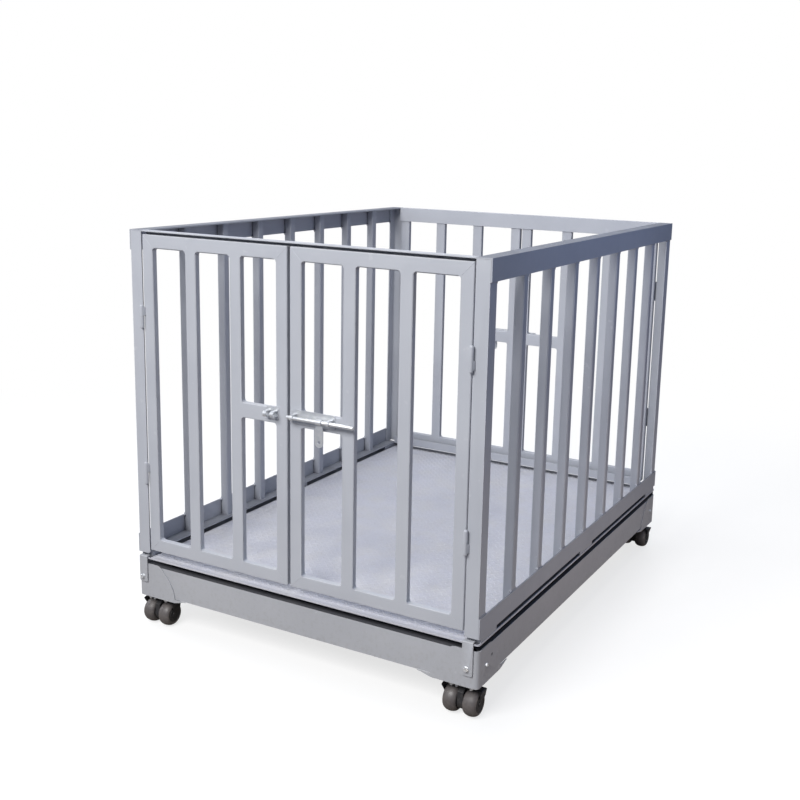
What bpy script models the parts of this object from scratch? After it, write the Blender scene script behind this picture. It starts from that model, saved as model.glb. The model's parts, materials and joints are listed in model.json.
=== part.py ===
import math

import bmesh
import bpy

# Livestock scale: a barred cage with a two-leaf gate at each end, standing on a weighing
# deck over a load-cell base on twin-wheel casters. Metres, +Z up, front gate towards -Y,
# origin on the floor under the middle of the deck.

GAP = 0.0003

# Cage
CAGE_WIDTH = 1.180
CAGE_DEPTH = 1.530
CAGE_HEIGHT = 1.000
CAGE_FOOT = 0.238
ANGLE_WALL = 0.004
POST_LEG = 0.040
TOP_RAIL_DROP = 0.060
HEADER_DROP = 0.054
BOTTOM_RAIL_RISE = 0.058
RAIL_SHELF = 0.045
BAR_SIZE = 0.028
BAR_COUNT = 7
BAR_FIRST = 0.206
BAR_PITCH = 0.1845
HEADER_DEPTH = 0.0245
PACKERS = ((0.0405, 0.110), (0.737, 0.847), (1.420, 1.4895))
POST_PACKER = (0.013, 0.0410)

# Gates
TUBE_WIDTH = 0.038
TUBE_DEPTH = 0.020
DOOR_BOTTOM = 0.013
DOOR_TOP = 0.988
DOOR_REVEAL = 0.004
SEAM_GAP = 0.009
FRONT_SEAM = -0.019
REAR_SEAM = 0.0015
LATCH_LEVEL = 0.511
LATCH_RAIL = 0.044
HINGE_LEVELS = (0.262, 0.745)
HINGE_RADIUS = 0.006
HINGE_HALF = 0.036
HINGE_STANDOFF = 0.0065
PIN_RADIUS = 0.003

# Slide bolts
ROD_RADIUS = 0.0055
ROD_LENGTH = 0.220
ROD_LEVEL = 0.519
ROD_STANDOFF = 0.020
ROD_TRAVEL = 0.070
LOOP_WALL = 0.0025
LATCH_PLATE = 0.0025

# Deck and base
DECK_TOP = 0.224
DECK_THICKNESS = 0.005
RIB_DEPTH = 0.025
TREAD_HALF = (0.540, 0.716)
TREAD_RISE = 0.0003
SKIRT_BOTTOM = 0.107
SKIRT_TOP = 0.198
SKIRT_INSET = 0.0025
SKIRT_WALL = 0.005
SKIRT_FLANGE = 0.045
CORNER_CLIP = 0.0068
SHROUD_BOTTOM = 0.096
SHROUD_TOP = 0.2035
SHROUD_WALL = 0.003
SHROUD_RADIUS = 0.012

# Casters
CASTER_X = 0.533
CASTER_Y = 0.705
CASTER_TRAIL = 0.025
WHEEL_RADIUS = 0.0375
WHEEL_HALF = 0.0215
WHEEL_SPREAD = 0.030
CASTER_TOP = 0.0934
PLATE_THICKNESS = 0.005

# Colour, roughness and metallic value of each finish
PAINT = ((0.52, 0.53, 0.56), 0.45, 0.0)
PAINT_SHADE = ((0.40, 0.42, 0.46), 0.5, 0.0)
DECK_PAINT = ((0.58, 0.59, 0.65), 0.5, 0.0)
ZINC = ((0.72, 0.73, 0.74), 0.32, 0.9)
BLACK_STEEL = ((0.05, 0.05, 0.055), 0.45, 0.3)
BLACK_PLASTIC = ((0.035, 0.03, 0.035), 0.3, 0.0)
ALLOY = ((0.66, 0.67, 0.68), 0.35, 0.9)
GREY_PLASTIC = ((0.35, 0.36, 0.38), 0.5, 0.0)

HALF_WIDTH = CAGE_WIDTH / 2
HALF_DEPTH = CAGE_DEPTH / 2
CAGE_TOP = CAGE_FOOT + CAGE_HEIGHT


def make_material(name, look):
    colour, roughness, metallic = look
    material = bpy.data.materials.new(name)
    material.use_nodes = True
    shader = material.node_tree.nodes["Principled BSDF"]
    shader.inputs["Base Color"].default_value = (*colour, 1.0)
    shader.inputs["Roughness"].default_value = roughness
    shader.inputs["Metallic"].default_value = metallic
    material.diffuse_color = (*colour, 1.0)
    return material


def add_object(name, bm, look, location=(0, 0, 0), parent=None, smooth=False):
    bmesh.ops.recalc_face_normals(bm, faces=bm.faces)
    mesh = bpy.data.meshes.new(name)
    bm.to_mesh(mesh)
    bm.free()
    mesh.materials.append(make_material(name + "_finish", look))
    if smooth:
        mesh.shade_smooth()
        mesh.set_sharp_from_angle(angle=math.radians(35))
    obj = bpy.data.objects.new(name, mesh)
    bpy.context.scene.collection.objects.link(obj)
    obj.location = location
    obj.parent = parent
    return obj


def add_empty(name, location=(0, 0, 0), turn=0.0):
    empty = bpy.data.objects.new(name, None)
    bpy.context.scene.collection.objects.link(empty)
    empty.location = location
    empty.rotation_euler.z = turn
    return empty


def combine(target, tool, operation):
    tool.hide_render = True
    tool.display_type = "WIRE"
    tool.parent = target.parent
    modifier = target.modifiers.new(tool.name, "BOOLEAN")
    modifier.operation = operation
    modifier.solver = "EXACT"
    modifier.object = tool


def along(axis, a, b, c):
    # a and b lie in the section plane, c runs along the axis
    if axis == "X":
        return (c, a, b)
    if axis == "Y":
        return (a, c, b)
    return (a, b, c)


def prism(bm, outline, start, end, axis):
    near = [bm.verts.new(along(axis, a, b, start)) for a, b in outline]
    far = [bm.verts.new(along(axis, a, b, end)) for a, b in outline]
    bm.faces.new(near)
    bm.faces.new(list(reversed(far)))
    count = len(outline)
    for i in range(count):
        j = (i + 1) % count
        bm.faces.new((near[j], near[i], far[i], far[j]))
    return near, far


def box(bm, x, y, z):
    outline = [(x[0], y[0]), (x[1], y[0]), (x[1], y[1]), (x[0], y[1])]
    return prism(bm, outline, z[0], z[1], "Z")


def turned(bm, profile, sides, axis="Z", centre=(0, 0, 0), phase=0.0):
    # profile holds (radius, height) pairs and starts and ends on the axis
    rings = []
    for radius, height in profile:
        if radius < 1e-7:
            points = [(0.0, 0.0)]
        else:
            angles = [phase + 2 * math.pi * k / sides for k in range(sides)]
            points = [(radius * math.cos(t), radius * math.sin(t)) for t in angles]
        ring = []
        for a, b in points:
            x, y, z = along(axis, a, b, height)
            ring.append(bm.verts.new((x + centre[0], y + centre[1], z + centre[2])))
        rings.append(ring)
    for lower, upper in zip(rings, rings[1:]):
        for k in range(sides):
            n = (k + 1) % sides
            if len(lower) == 1:
                bm.faces.new((lower[0], upper[k], upper[n]))
            elif len(upper) == 1:
                bm.faces.new((lower[k], upper[0], lower[n]))
            else:
                bm.faces.new((lower[k], upper[k], upper[n], lower[n]))


def lattice(bm, columns, rows, solid, front, back, axis="Y"):
    # welded flat framework: the cells marked solid are filled from front to back
    verts = {}

    def vert(i, j, depth):
        key = (i, j, depth)
        if key not in verts:
            verts[key] = bm.verts.new(along(axis, columns[i], rows[j], depth))
        return verts[key]

    cells = {
        (i, j)
        for i in range(len(columns) - 1)
        for j in range(len(rows) - 1)
        if solid(i, j)
    }
    for i, j in cells:
        corners = [(i, j), (i + 1, j), (i + 1, j + 1), (i, j + 1)]
        bm.faces.new([vert(a, b, front) for a, b in corners])
        bm.faces.new([vert(a, b, back) for a, b in reversed(corners)])
        beyond = [(i, j - 1), (i + 1, j), (i, j + 1), (i - 1, j)]
        for k in range(4):
            if beyond[k] in cells:
                continue
            a, b = corners[k], corners[(k + 1) % 4]
            bm.faces.new((vert(*b, front), vert(*a, front), vert(*a, back), vert(*b, back)))


def arc(centre, radius, start, end, steps):
    points = []
    for k in range(steps + 1):
        t = math.radians(start + (end - start) * k / steps)
        points.append((centre[0] + radius * math.cos(t), centre[1] + radius * math.sin(t)))
    return points


def angle_outline(corner, leg_a, leg_b, root=0.003):
    # angle section, rolled with a root fillet or folded sharp; the signs of the legs say
    # which way they run
    a0, b0 = corner
    sa = math.copysign(1, leg_a)
    sb = math.copysign(1, leg_b)
    points = [(0, 0), (abs(leg_a), 0), (abs(leg_a), ANGLE_WALL)]
    inner = ANGLE_WALL + root
    if root > 0:
        points += arc((inner, inner), root, 270, 180, 3)
    else:
        points.append((inner, inner))
    points += [(ANGLE_WALL, abs(leg_b)), (0, abs(leg_b))]
    return [(a0 + sa * a, b0 + sb * b) for a, b in points]


def rounded_rectangle(half_a, half_b, radius, steps, centre=(0, 0)):
    points = []
    for sa, sb, start in ((1, 1, 0), (-1, 1, 90), (-1, -1, 180), (1, -1, 270)):
        middle = (centre[0] + sa * (half_a - radius), centre[1] + sb * (half_b - radius))
        points += arc(middle, radius, start, start + 90, steps)
    return points


def round_edges(bm, test, radius, steps):
    edges = [e for e in bm.edges if all(test(v.co) for v in e.verts)]
    bmesh.ops.bevel(bm, geom=edges, offset=radius, segments=steps, profile=0.5, affect="EDGES")


def hinge_half(bm, x, y, z, upward):
    # bullet hinge half; the lower one carries the pin
    tall = HINGE_HALF
    if upward:
        profile = [
            (0, tall),
            (0.0044, tall - 0.002),
            (HINGE_RADIUS, tall - 0.007),
            (HINGE_RADIUS, 0.0002),
            (PIN_RADIUS + 0.0004, 0.0002),
            (PIN_RADIUS + 0.0004, 0.022),
            (0, 0.022),
        ]
    else:
        profile = [
            (0, 0.020),
            (PIN_RADIUS, 0.020),
            (PIN_RADIUS, -0.0002),
            (HINGE_RADIUS, -0.0002),
            (HINGE_RADIUS, 0.007 - tall),
            (0.0044, 0.002 - tall),
            (0, -tall),
        ]
    turned(bm, profile, 10, "Z", (x, y, z))


def hinge_bead(bm, x, y, low, high, bead_side, facing):
    # weld fillet from the barrel to the face behind it, sunk a little into that face
    face = y - facing * (HINGE_STANDOFF + 0.0008)
    outline = [
        (x + bead_side * 0.0042, y + facing * 0.0015),
        (x + bead_side * 0.0072, y - facing * 0.0005),
        (x + bead_side * 0.0100, face),
        (x + bead_side * 0.0024, face),
        (x + bead_side * 0.0024, y - facing * 0.0040),
    ]
    prism(bm, outline, low, high, "Z")


def post(name, side, end):
    # corner post: one leg faces the gate, the other the side; its free foot is rounded,
    # and the fixed halves of two hinges are welded beside its front face
    bm = bmesh.new()
    outer = side * (HALF_WIDTH - ANGLE_WALL - GAP)
    outline = angle_outline((outer, end * HALF_DEPTH), -side * POST_LEG, -end * POST_LEG)
    prism(bm, outline, CAGE_FOOT, CAGE_TOP - ANGLE_WALL - GAP, "Z")
    toe = outer - side * POST_LEG
    round_edges(
        bm,
        lambda co: abs(co.x - toe) < 1e-5 and abs(co.z - CAGE_FOOT) < 1e-5,
        0.008,
        4,
    )
    upright = add_object(name, bm, PAINT)
    halves = bmesh.new()
    beads = bmesh.new()
    x = side * (HALF_WIDTH - 0.046)
    y = end * (HALF_DEPTH + HINGE_STANDOFF)
    for level in HINGE_LEVELS:
        z = CAGE_FOOT + level
        hinge_half(halves, x, y, z, False)
        hinge_bead(beads, x, y, z - HINGE_HALF + 0.008, z - 0.004, side, end)
    combine(upright, add_object(name + "_beads", beads, PAINT), "UNION")
    combine(upright, add_object(name + "_hinges", halves, PAINT, smooth=True), "UNION")


def side_frame(label, side):
    # top and bottom rails joined by the upright bars, with packers under the bottom rail
    bm = bmesh.new()
    corner = (side * HALF_WIDTH, CAGE_TOP)
    outline = angle_outline(corner, -side * RAIL_SHELF, -TOP_RAIL_DROP, 0)
    prism(bm, outline, -HALF_DEPTH, HALF_DEPTH, "Y")
    corner = (side * HALF_WIDTH, CAGE_FOOT)
    outline = angle_outline(corner, -side * RAIL_SHELF, BOTTOM_RAIL_RISE, 0)
    prism(bm, outline, -HALF_DEPTH, HALF_DEPTH, "Y")
    frame = add_object(label + "_side_frame", bm, PAINT)

    # the bottom shelf is cut back at both ends for the posts
    bm = bmesh.new()
    reach = sorted((side * (HALF_WIDTH - 0.0041), side * (HALF_WIDTH - 0.060)))
    for end in (-1, 1):
        depth = sorted((end * (HALF_DEPTH + 0.01), end * (HALF_DEPTH - POST_LEG - 0.0005)))
        box(bm, reach, depth, (CAGE_FOOT - 0.01, CAGE_FOOT + 0.0075))
    combine(frame, add_object(label + "_rail_cope", bm, PAINT), "DIFFERENCE")

    bm = bmesh.new()
    sunk = 0.0006
    middle = side * (HALF_WIDTH - ANGLE_WALL + sunk - BAR_SIZE / 2)
    for k in range(BAR_COUNT):
        y = -HALF_DEPTH + BAR_FIRST + BAR_SIZE / 2 + k * BAR_PITCH
        section = rounded_rectangle(BAR_SIZE / 2, BAR_SIZE / 2, 0.003, 1, (middle, y))
        low = CAGE_FOOT + ANGLE_WALL - sunk
        high = CAGE_TOP - ANGLE_WALL + sunk
        prism(bm, section, low, high, "Z")
    combine(frame, add_object(label + "_side_bars", bm, PAINT_SHADE), "UNION")

    bm = bmesh.new()
    x = sorted((side * (HALF_WIDTH - 0.042), side * (HALF_WIDTH - 0.0015)))
    for low, high in PACKERS:
        y = (low - HALF_DEPTH, high - HALF_DEPTH)
        box(bm, x, y, (DECK_TOP + GAP, CAGE_FOOT + sunk))
    combine(frame, add_object(label + "_packers", bm, PAINT), "UNION")

    # the end packers run on under the posts, a gap lower
    bm = bmesh.new()
    for end in (-1, 1):
        y = sorted(end * (HALF_DEPTH - inset) for inset in POST_PACKER)
        box(bm, x, y, (DECK_TOP + GAP, CAGE_FOOT - GAP))
    combine(frame, add_object(label + "_post_packers", bm, PAINT), "UNION")


def header(name, end):
    # angle across the gate top; its standing leg is the doors' stop
    bm = bmesh.new()
    stop = end * (HALF_DEPTH - HEADER_DEPTH)
    outline = angle_outline((stop, CAGE_TOP), end * HEADER_DEPTH, -HEADER_DROP)
    reach = HALF_WIDTH - RAIL_SHELF - GAP
    prism(bm, outline, -reach, reach, "X")
    add_object(name, bm, PAINT)


def rear_sill():
    bm = bmesh.new()
    foot = (HALF_DEPTH - POST_LEG, CAGE_FOOT)
    outline = angle_outline(foot, POST_LEG - GAP, 0.030)
    reach = HALF_WIDTH - RAIL_SHELF - GAP
    prism(bm, outline, -reach, reach, "X")
    add_object("rear_sill", bm, PAINT)


def door(name, gate, side, seam_edge):
    # mitred tube frame, two upright bars at even gaps, a short latch rail beside the seam
    # stile and the two swinging hinge halves; built about its hinge axis
    axis_x = side * (HALF_WIDTH - 0.046)
    axis_y = -HALF_DEPTH - HINGE_STANDOFF
    hinge_edge = side * (HALF_WIDTH - 0.004 - POST_LEG - DOOR_REVEAL)
    low, high = sorted((hinge_edge, seam_edge))
    space = (high - low - 4 * TUBE_WIDTH) / 3
    columns = [low]
    for width in (TUBE_WIDTH, space, TUBE_WIDTH, space, TUBE_WIDTH, space, TUBE_WIDTH):
        columns.append(columns[-1] + width)
    columns = [x - axis_x for x in columns]
    rows = [
        DOOR_BOTTOM,
        DOOR_BOTTOM + TUBE_WIDTH,
        LATCH_LEVEL - LATCH_RAIL / 2,
        LATCH_LEVEL + LATCH_RAIL / 2,
        DOOR_TOP - TUBE_WIDTH,
        DOOR_TOP,
    ]
    rows = [CAGE_FOOT + z for z in rows]
    latch_cell = 5 if side < 0 else 1

    def solid(i, j):
        return i in (0, 2, 4, 6) or j in (0, 4) or (j == 2 and i == latch_cell)

    bm = bmesh.new()
    front = HINGE_STANDOFF
    lattice(bm, columns, rows, solid, front, front + TUBE_DEPTH)
    leaf = add_object(name, bm, PAINT, (axis_x, axis_y, 0), gate)
    rounding = leaf.modifiers.new("tube_corners", "BEVEL")
    rounding.width = 0.002
    rounding.segments = 1
    rounding.limit_method = "ANGLE"
    rounding.angle_limit = math.radians(40)

    barrels = bmesh.new()
    beads = bmesh.new()
    for level in HINGE_LEVELS:
        z = CAGE_FOOT + level
        hinge_half(barrels, 0, 0, z, True)
        hinge_bead(beads, 0, 0, z + 0.004, z + HINGE_HALF - 0.008, -side, -1)
    place = (axis_x, axis_y, 0)
    combine(leaf, add_object(name + "_beads", beads, PAINT, place, gate), "UNION")
    combine(leaf, add_object(name + "_barrels", barrels, PAINT, place, gate, True), "UNION")
    return leaf


def loop_outline():
    # strap bent over the rod; first coordinate is depth, second is height
    inner = ROD_RADIUS + 0.0005
    outer = inner + LOOP_WALL
    foot = ROD_STANDOFF - 0.0012
    points = [(foot, -outer)]
    points += arc((0, 0), outer, 270, 90, 6)
    points += [(foot, outer), (foot, inner)]
    points += arc((0, 0), inner, 90, 270, 6)
    points += [(foot, -inner)]
    return points


def latch_plate(name, parent, location, span, loops, height):
    # base plate with the rod's loops welded on; origin on the rod axis
    bm = bmesh.new()
    back = ROD_STANDOFF - GAP
    middle = (span[0] + span[1]) / 2
    outline = rounded_rectangle((span[1] - span[0]) / 2, height / 2, 0.004, 2, (middle, 0))
    prism(bm, outline, back - LATCH_PLATE, back, "Y")
    plate = add_object(name, bm, ZINC, location, parent)
    bm = bmesh.new()
    for low, high in loops:
        prism(bm, loop_outline(), low, high, "X")
    combine(plate, add_object(name + "_loops", bm, ZINC, location, parent), "UNION")
    return plate


def bolt_rod(name, parent, location):
    bm = bmesh.new()
    half = ROD_LENGTH / 2
    profile = [
        (0, -half),
        (ROD_RADIUS - 0.002, -half),
        (ROD_RADIUS, 0.003 - half),
        (ROD_RADIUS, half - 0.003),
        (ROD_RADIUS - 0.002, half),
        (0, half),
    ]
    turned(bm, profile, 16, "X")
    return add_object(name, bm, ZINC, location, parent, True)


def hasp_tongue(name, parent, location):
    # eye round the rod with a flat tongue below it, holed near its tip for a padlock
    bm = bmesh.new()
    inner = ROD_RADIUS + 0.0005
    outer = inner + LOOP_WALL
    sides = 16
    for k in range(sides):
        n = (k + 1) % sides
        quad = []
        for t in (2 * math.pi * k / sides, 2 * math.pi * n / sides):
            quad.append((math.cos(t), math.sin(t)))
        (a, b), (c, d) = quad
        for x in (-0.009, 0.009):
            ring = [(inner, a, b), (outer, a, b), (outer, c, d), (inner, c, d)]
            bm.faces.new([bm.verts.new((x, r * p, r * q)) for r, p, q in ring])
        for radius in (inner, outer):
            bm.faces.new(
                [
                    bm.verts.new((-0.009, radius * a, radius * b)),
                    bm.verts.new((-0.009, radius * c, radius * d)),
                    bm.verts.new((0.009, radius * c, radius * d)),
                    bm.verts.new((0.009, radius * a, radius * b)),
                ]
            )
    bmesh.ops.remove_doubles(bm, verts=bm.verts, dist=0.00001)
    eye = add_object(name, bm, ZINC, location, parent, True)

    bm = bmesh.new()
    tip = -0.071
    outline = [(-0.009, -outer + 0.0012), (-0.013, -0.020)]
    outline += arc((0, tip + 0.013), 0.013, 180, 360, 8)
    outline += [(0.013, -0.020), (0.009, -outer + 0.0012)]
    prism(bm, outline, -0.0015, 0.0015, "Y")
    combine(eye, add_object(name + "_blade", bm, ZINC, location, parent), "UNION")

    bm = bmesh.new()
    profile = [(0, -0.01), (0.0045, -0.01), (0.0045, 0.01), (0, 0.01)]
    turned(bm, profile, 12, "Y", (0, 0, tip + 0.015))
    combine(eye, add_object(name + "_hole", bm, ZINC, location, parent), "DIFFERENCE")
    return eye


def gate(label, turn, seam, names):
    frame = add_empty(label + "_gate", turn=turn)
    keeper_door = door(names[0], frame, -1, seam - SEAM_GAP / 2)
    bolt_door = door(names[1], frame, 1, seam + SEAM_GAP / 2)

    # The rod is stored drawn back; slid by ROD_TRAVEL it enters the keeper's two loops.
    rod_y = -HALF_DEPTH - ROD_STANDOFF
    rod_z = CAGE_FOOT + ROD_LEVEL
    seam_side = seam + SEAM_GAP / 2
    keeper_x = seam - SEAM_GAP / 2 - 0.0475
    latch_plate(
        label + "_bolt_keeper",
        keeper_door,
        (keeper_x - keeper_door.location.x, rod_y - keeper_door.location.y, rod_z),
        (-0.020, 0.020),
        ((-0.0175, -0.0065), (0.0065, 0.0175)),
        0.036,
    )
    guide_x = seam_side + 0.0145
    latch_plate(
        label + "_bolt_guide",
        bolt_door,
        (guide_x - bolt_door.location.x, rod_y - bolt_door.location.y, rod_z),
        (0.0, 0.136),
        ((0.002, 0.012), (0.122, 0.132)),
        0.040,
    )
    rod_x = seam_side + 0.0025 + ROD_LENGTH / 2
    rod = bolt_rod(
        label + "_bolt_rod",
        bolt_door,
        (rod_x - bolt_door.location.x, rod_y - bolt_door.location.y, rod_z),
    )
    hasp_x = seam_side + 0.042 + ROD_TRAVEL
    hasp_tongue(label + "_hasp_tongue", rod, (hasp_x - rod_x, 0, 0))


def mitred_beam(bm, outline, half_length, distance, axis, facing):
    # outline pairs are (depth in from the outer face, height); the ends are mitred, and
    # start CORNER_CLIP short of the corner to clear the shroud's bend
    ends = []
    for sign in (-1, 1):
        ring = []
        for depth, z in outline:
            inset = CORNER_CLIP + depth * (1 - CORNER_CLIP / SKIRT_FLANGE)
            run = sign * (half_length - inset - GAP)
            across = facing * (distance - depth)
            point = (run, across, z) if axis == "X" else (across, run, z)
            ring.append(bm.verts.new(point))
        ends.append(ring)
    near, far = ends
    bm.faces.new(near)
    bm.faces.new(list(reversed(far)))
    count = len(outline)
    for i in range(count):
        j = (i + 1) % count
        bm.faces.new((near[j], near[i], far[i], far[j]))


def skirt():
    # the base frame's four channels, webs outside
    half_x = HALF_WIDTH - SKIRT_INSET
    half_y = HALF_DEPTH - SKIRT_INSET
    wall = SKIRT_WALL
    flange = SKIRT_FLANGE
    outline = [
        (0, SKIRT_BOTTOM),
        (flange, SKIRT_BOTTOM),
        (flange, SKIRT_BOTTOM + wall),
        (wall, SKIRT_BOTTOM + wall),
        (wall, SKIRT_TOP - wall),
        (flange, SKIRT_TOP - wall),
        (flange, SKIRT_TOP),
        (0, SKIRT_TOP),
    ]
    beams = {}
    for name, axis, facing in (
        ("front_skirt_beam", "X", -1),
        ("rear_skirt_beam", "X", 1),
        ("left_skirt_beam", "Y", -1),
        ("right_skirt_beam", "Y", 1),
    ):
        bm = bmesh.new()
        run, distance = (half_x, half_y) if axis == "X" else (half_y, half_x)
        mitred_beam(bm, outline, run, distance, axis, facing)
        beams[name] = add_object(name, bm, PAINT)

    # corner plates for the casters, welded under the end beams
    low = CASTER_TOP + PLATE_THICKNESS + GAP
    plates = ("_corner_plates", (0.4700, 0.5820), (0.6400, 0.7600), (low, SKIRT_BOTTOM - GAP))
    welds = ("_corner_welds", (0.4720, 0.5300), (0.7250, 0.7590), (low + 0.001, SKIRT_BOTTOM + 0.001))
    for name, end in (("front_skirt_beam", -1), ("rear_skirt_beam", 1)):
        for suffix, x, y, z in (plates, welds):
            bm = bmesh.new()
            for side in (-1, 1):
                span_x = sorted((side * x[0], side * x[1]))
                span_y = sorted((end * y[0], end * y[1]))
                box(bm, span_x, span_y, z)
            combine(beams[name], add_object(name + suffix, bm, PAINT), "UNION")

    bm = bmesh.new()
    profile = [(0, 0.5), (0.0045, 0.5), (0.0045, 0.65), (0, 0.65)]
    turned(bm, profile, 12, "X", (0, -HALF_DEPTH + 0.082, 0.165))
    hole = add_object("cable_hole", bm, PAINT)
    combine(beams["right_skirt_beam"], hole, "DIFFERENCE")
    return hole


# Height of the shroud's upper edge at each distance from the corner. Past the wing's
# edge a low tail runs on under the skirt.
WING_EDGE = (
    (0.070, 0.2035),
    (0.080, 0.2020),
    (0.090, 0.1960),
    (0.1177, 0.1660),
    (0.1348, 0.1360),
    (0.1400, 0.1180),
    (0.1413, SKIRT_BOTTOM - GAP),
)
TAIL_START = 0.1348
TAIL_END = 0.185


def wing_floor(u):
    if u <= TAIL_START:
        return SHROUD_BOTTOM
    t = (u - TAIL_START) / (TAIL_END - TAIL_START)
    rise = SKIRT_BOTTOM - GAP - 0.0005 - SHROUD_BOTTOM
    return SHROUD_BOTTOM + rise * t * t * (3 - 2 * t)


def corner_shroud(name, side, end, hole=None):
    outer_x = HALF_WIDTH - SKIRT_INSET + GAP + SHROUD_WALL
    outer_y = HALF_DEPTH - SKIRT_INSET + GAP + SHROUD_WALL
    wing = [(u, top, wing_floor(u)) for u, top in WING_EDGE]
    for k in range(1, 5):
        u = WING_EDGE[-1][0] + (TAIL_END - WING_EDGE[-1][0]) * k / 4
        wing.append((u, SKIRT_BOTTOM - GAP, wing_floor(u)))

    # columns: outer point, inner point, top, bottom, walked from one wing to the other
    columns = []
    for u, top, floor in reversed(wing):
        columns.append(((outer_x - u, outer_y), (outer_x - u, outer_y - SHROUD_WALL), top, floor))
    middle = (outer_x - SHROUD_RADIUS, outer_y - SHROUD_RADIUS)
    outside = arc(middle, SHROUD_RADIUS, 90, 0, 5)
    inside = arc(middle, SHROUD_RADIUS - SHROUD_WALL, 90, 0, 5)
    for o, i in zip(outside, inside):
        columns.append((o, i, SHROUD_TOP, SHROUD_BOTTOM))
    for u, top, floor in wing:
        columns.append(((outer_x, outer_y - u), (outer_x - SHROUD_WALL, outer_y - u), top, floor))

    bm = bmesh.new()
    rings = []
    for outer, inner, top, floor in columns:
        ring = []
        for (x, y), z in ((outer, floor), (outer, top), (inner, top), (inner, floor)):
            ring.append(bm.verts.new((side * x, end * y, z)))
        rings.append(ring)
    for a, b in zip(rings, rings[1:]):
        for k in range(4):
            n = (k + 1) % 4
            bm.faces.new((a[k], a[n], b[n], b[k]))
    bm.faces.new(rings[0])
    bm.faces.new(list(reversed(rings[-1])))
    shroud = add_object(name, bm, PAINT, smooth=True)
    if hole:
        combine(shroud, hole, "DIFFERENCE")
    centre = (side * (outer_x - 0.0003), end * (HALF_DEPTH - 0.047), 0.149)
    add_bolt(shroud, centre, "X", side, 0.010, 0.004)


def add_bolt(seat, centre, axis, direction, across, head):
    # washer and hexagon head fixed on a plate, stacked outwards
    thickness = 0.0016
    washer = bmesh.new()
    profile = [(0, 0), (across * 0.62, 0), (across * 0.62, thickness), (0, thickness)]
    turned(washer, [(r, direction * h) for r, h in profile], 12, axis, centre)
    combine(seat, add_object(seat.name + "_washer", washer, ZINC), "UNION")
    cap = bmesh.new()
    radius = across / math.sqrt(3)
    top = thickness + head
    profile = [(0, 0.0008), (radius, 0.0008), (radius, top - 0.001), (radius * 0.8, top), (0, top)]
    turned(cap, [(r, direction * h) for r, h in profile], 6, axis, centre)
    combine(seat, add_object(seat.name + "_bolt", cap, ZINC), "UNION")


def hold_down_strap(name, span, end, foot, bolt_x, bolt_z):
    # strap hooked over the deck edge and bolted to the shroud for transport
    face = HALF_DEPTH - SKIRT_INSET + 2 * GAP + SHROUD_WALL
    wall = 0.004
    hook = DECK_TOP + GAP
    outline = [
        (end * face, foot),
        (end * (face + wall), foot),
        (end * (face + wall), hook + wall - 0.002),
        (end * (face + wall - 0.002), hook + wall),
        (end * (HALF_DEPTH - 0.012), hook + wall),
        (end * (HALF_DEPTH - 0.012), hook),
        (end * face, hook),
    ]
    bm = bmesh.new()
    low, high = sorted((-end * span[0], -end * span[1]))
    prism(bm, outline, low, high, "X")
    round_edges(bm, lambda co: abs(co.z - foot) < 1e-5 and abs(co.x - low) < 1e-5, 0.004, 2)
    round_edges(bm, lambda co: abs(co.z - foot) < 1e-5 and abs(co.x - high) < 1e-5, 0.004, 2)
    strap = add_object(name, bm, PAINT)
    centre = (-end * bolt_x, end * (face + wall - 0.0003), bolt_z)
    add_bolt(strap, centre, "Y", end, 0.013, 0.0055)


def deck():
    bm = bmesh.new()
    outline = rounded_rectangle(HALF_WIDTH, HALF_DEPTH, 0.008, 4)
    prism(bm, outline, DECK_TOP - DECK_THICKNESS, DECK_TOP, "Z")
    plate = add_object("deck_plate", bm, DECK_PAINT)
    # the tread pattern inside the cage, as one field raised by its mean height
    bm = bmesh.new()
    span_x = (-TREAD_HALF[0], TREAD_HALF[0])
    span_y = (-TREAD_HALF[1], TREAD_HALF[1])
    box(bm, span_x, span_y, (DECK_TOP - 0.001, DECK_TOP + TREAD_RISE))
    combine(plate, add_object("tread_field", bm, DECK_PAINT), "UNION")

    # grid of bars welded under the plate
    bm = bmesh.new()
    columns = [-0.525, -0.485, 0.485, 0.525]
    rows = [-0.700, -0.660, -0.240, -0.200, 0.200, 0.240, 0.660, 0.700]
    top = DECK_TOP - DECK_THICKNESS - GAP
    lattice(
        bm,
        columns,
        rows,
        lambda i, j: i % 2 == 0 or j % 2 == 0,
        top - RIB_DEPTH,
        top,
        "Z",
    )
    add_object("deck_ribs", bm, PAINT_SHADE)
    return top - RIB_DEPTH


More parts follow.
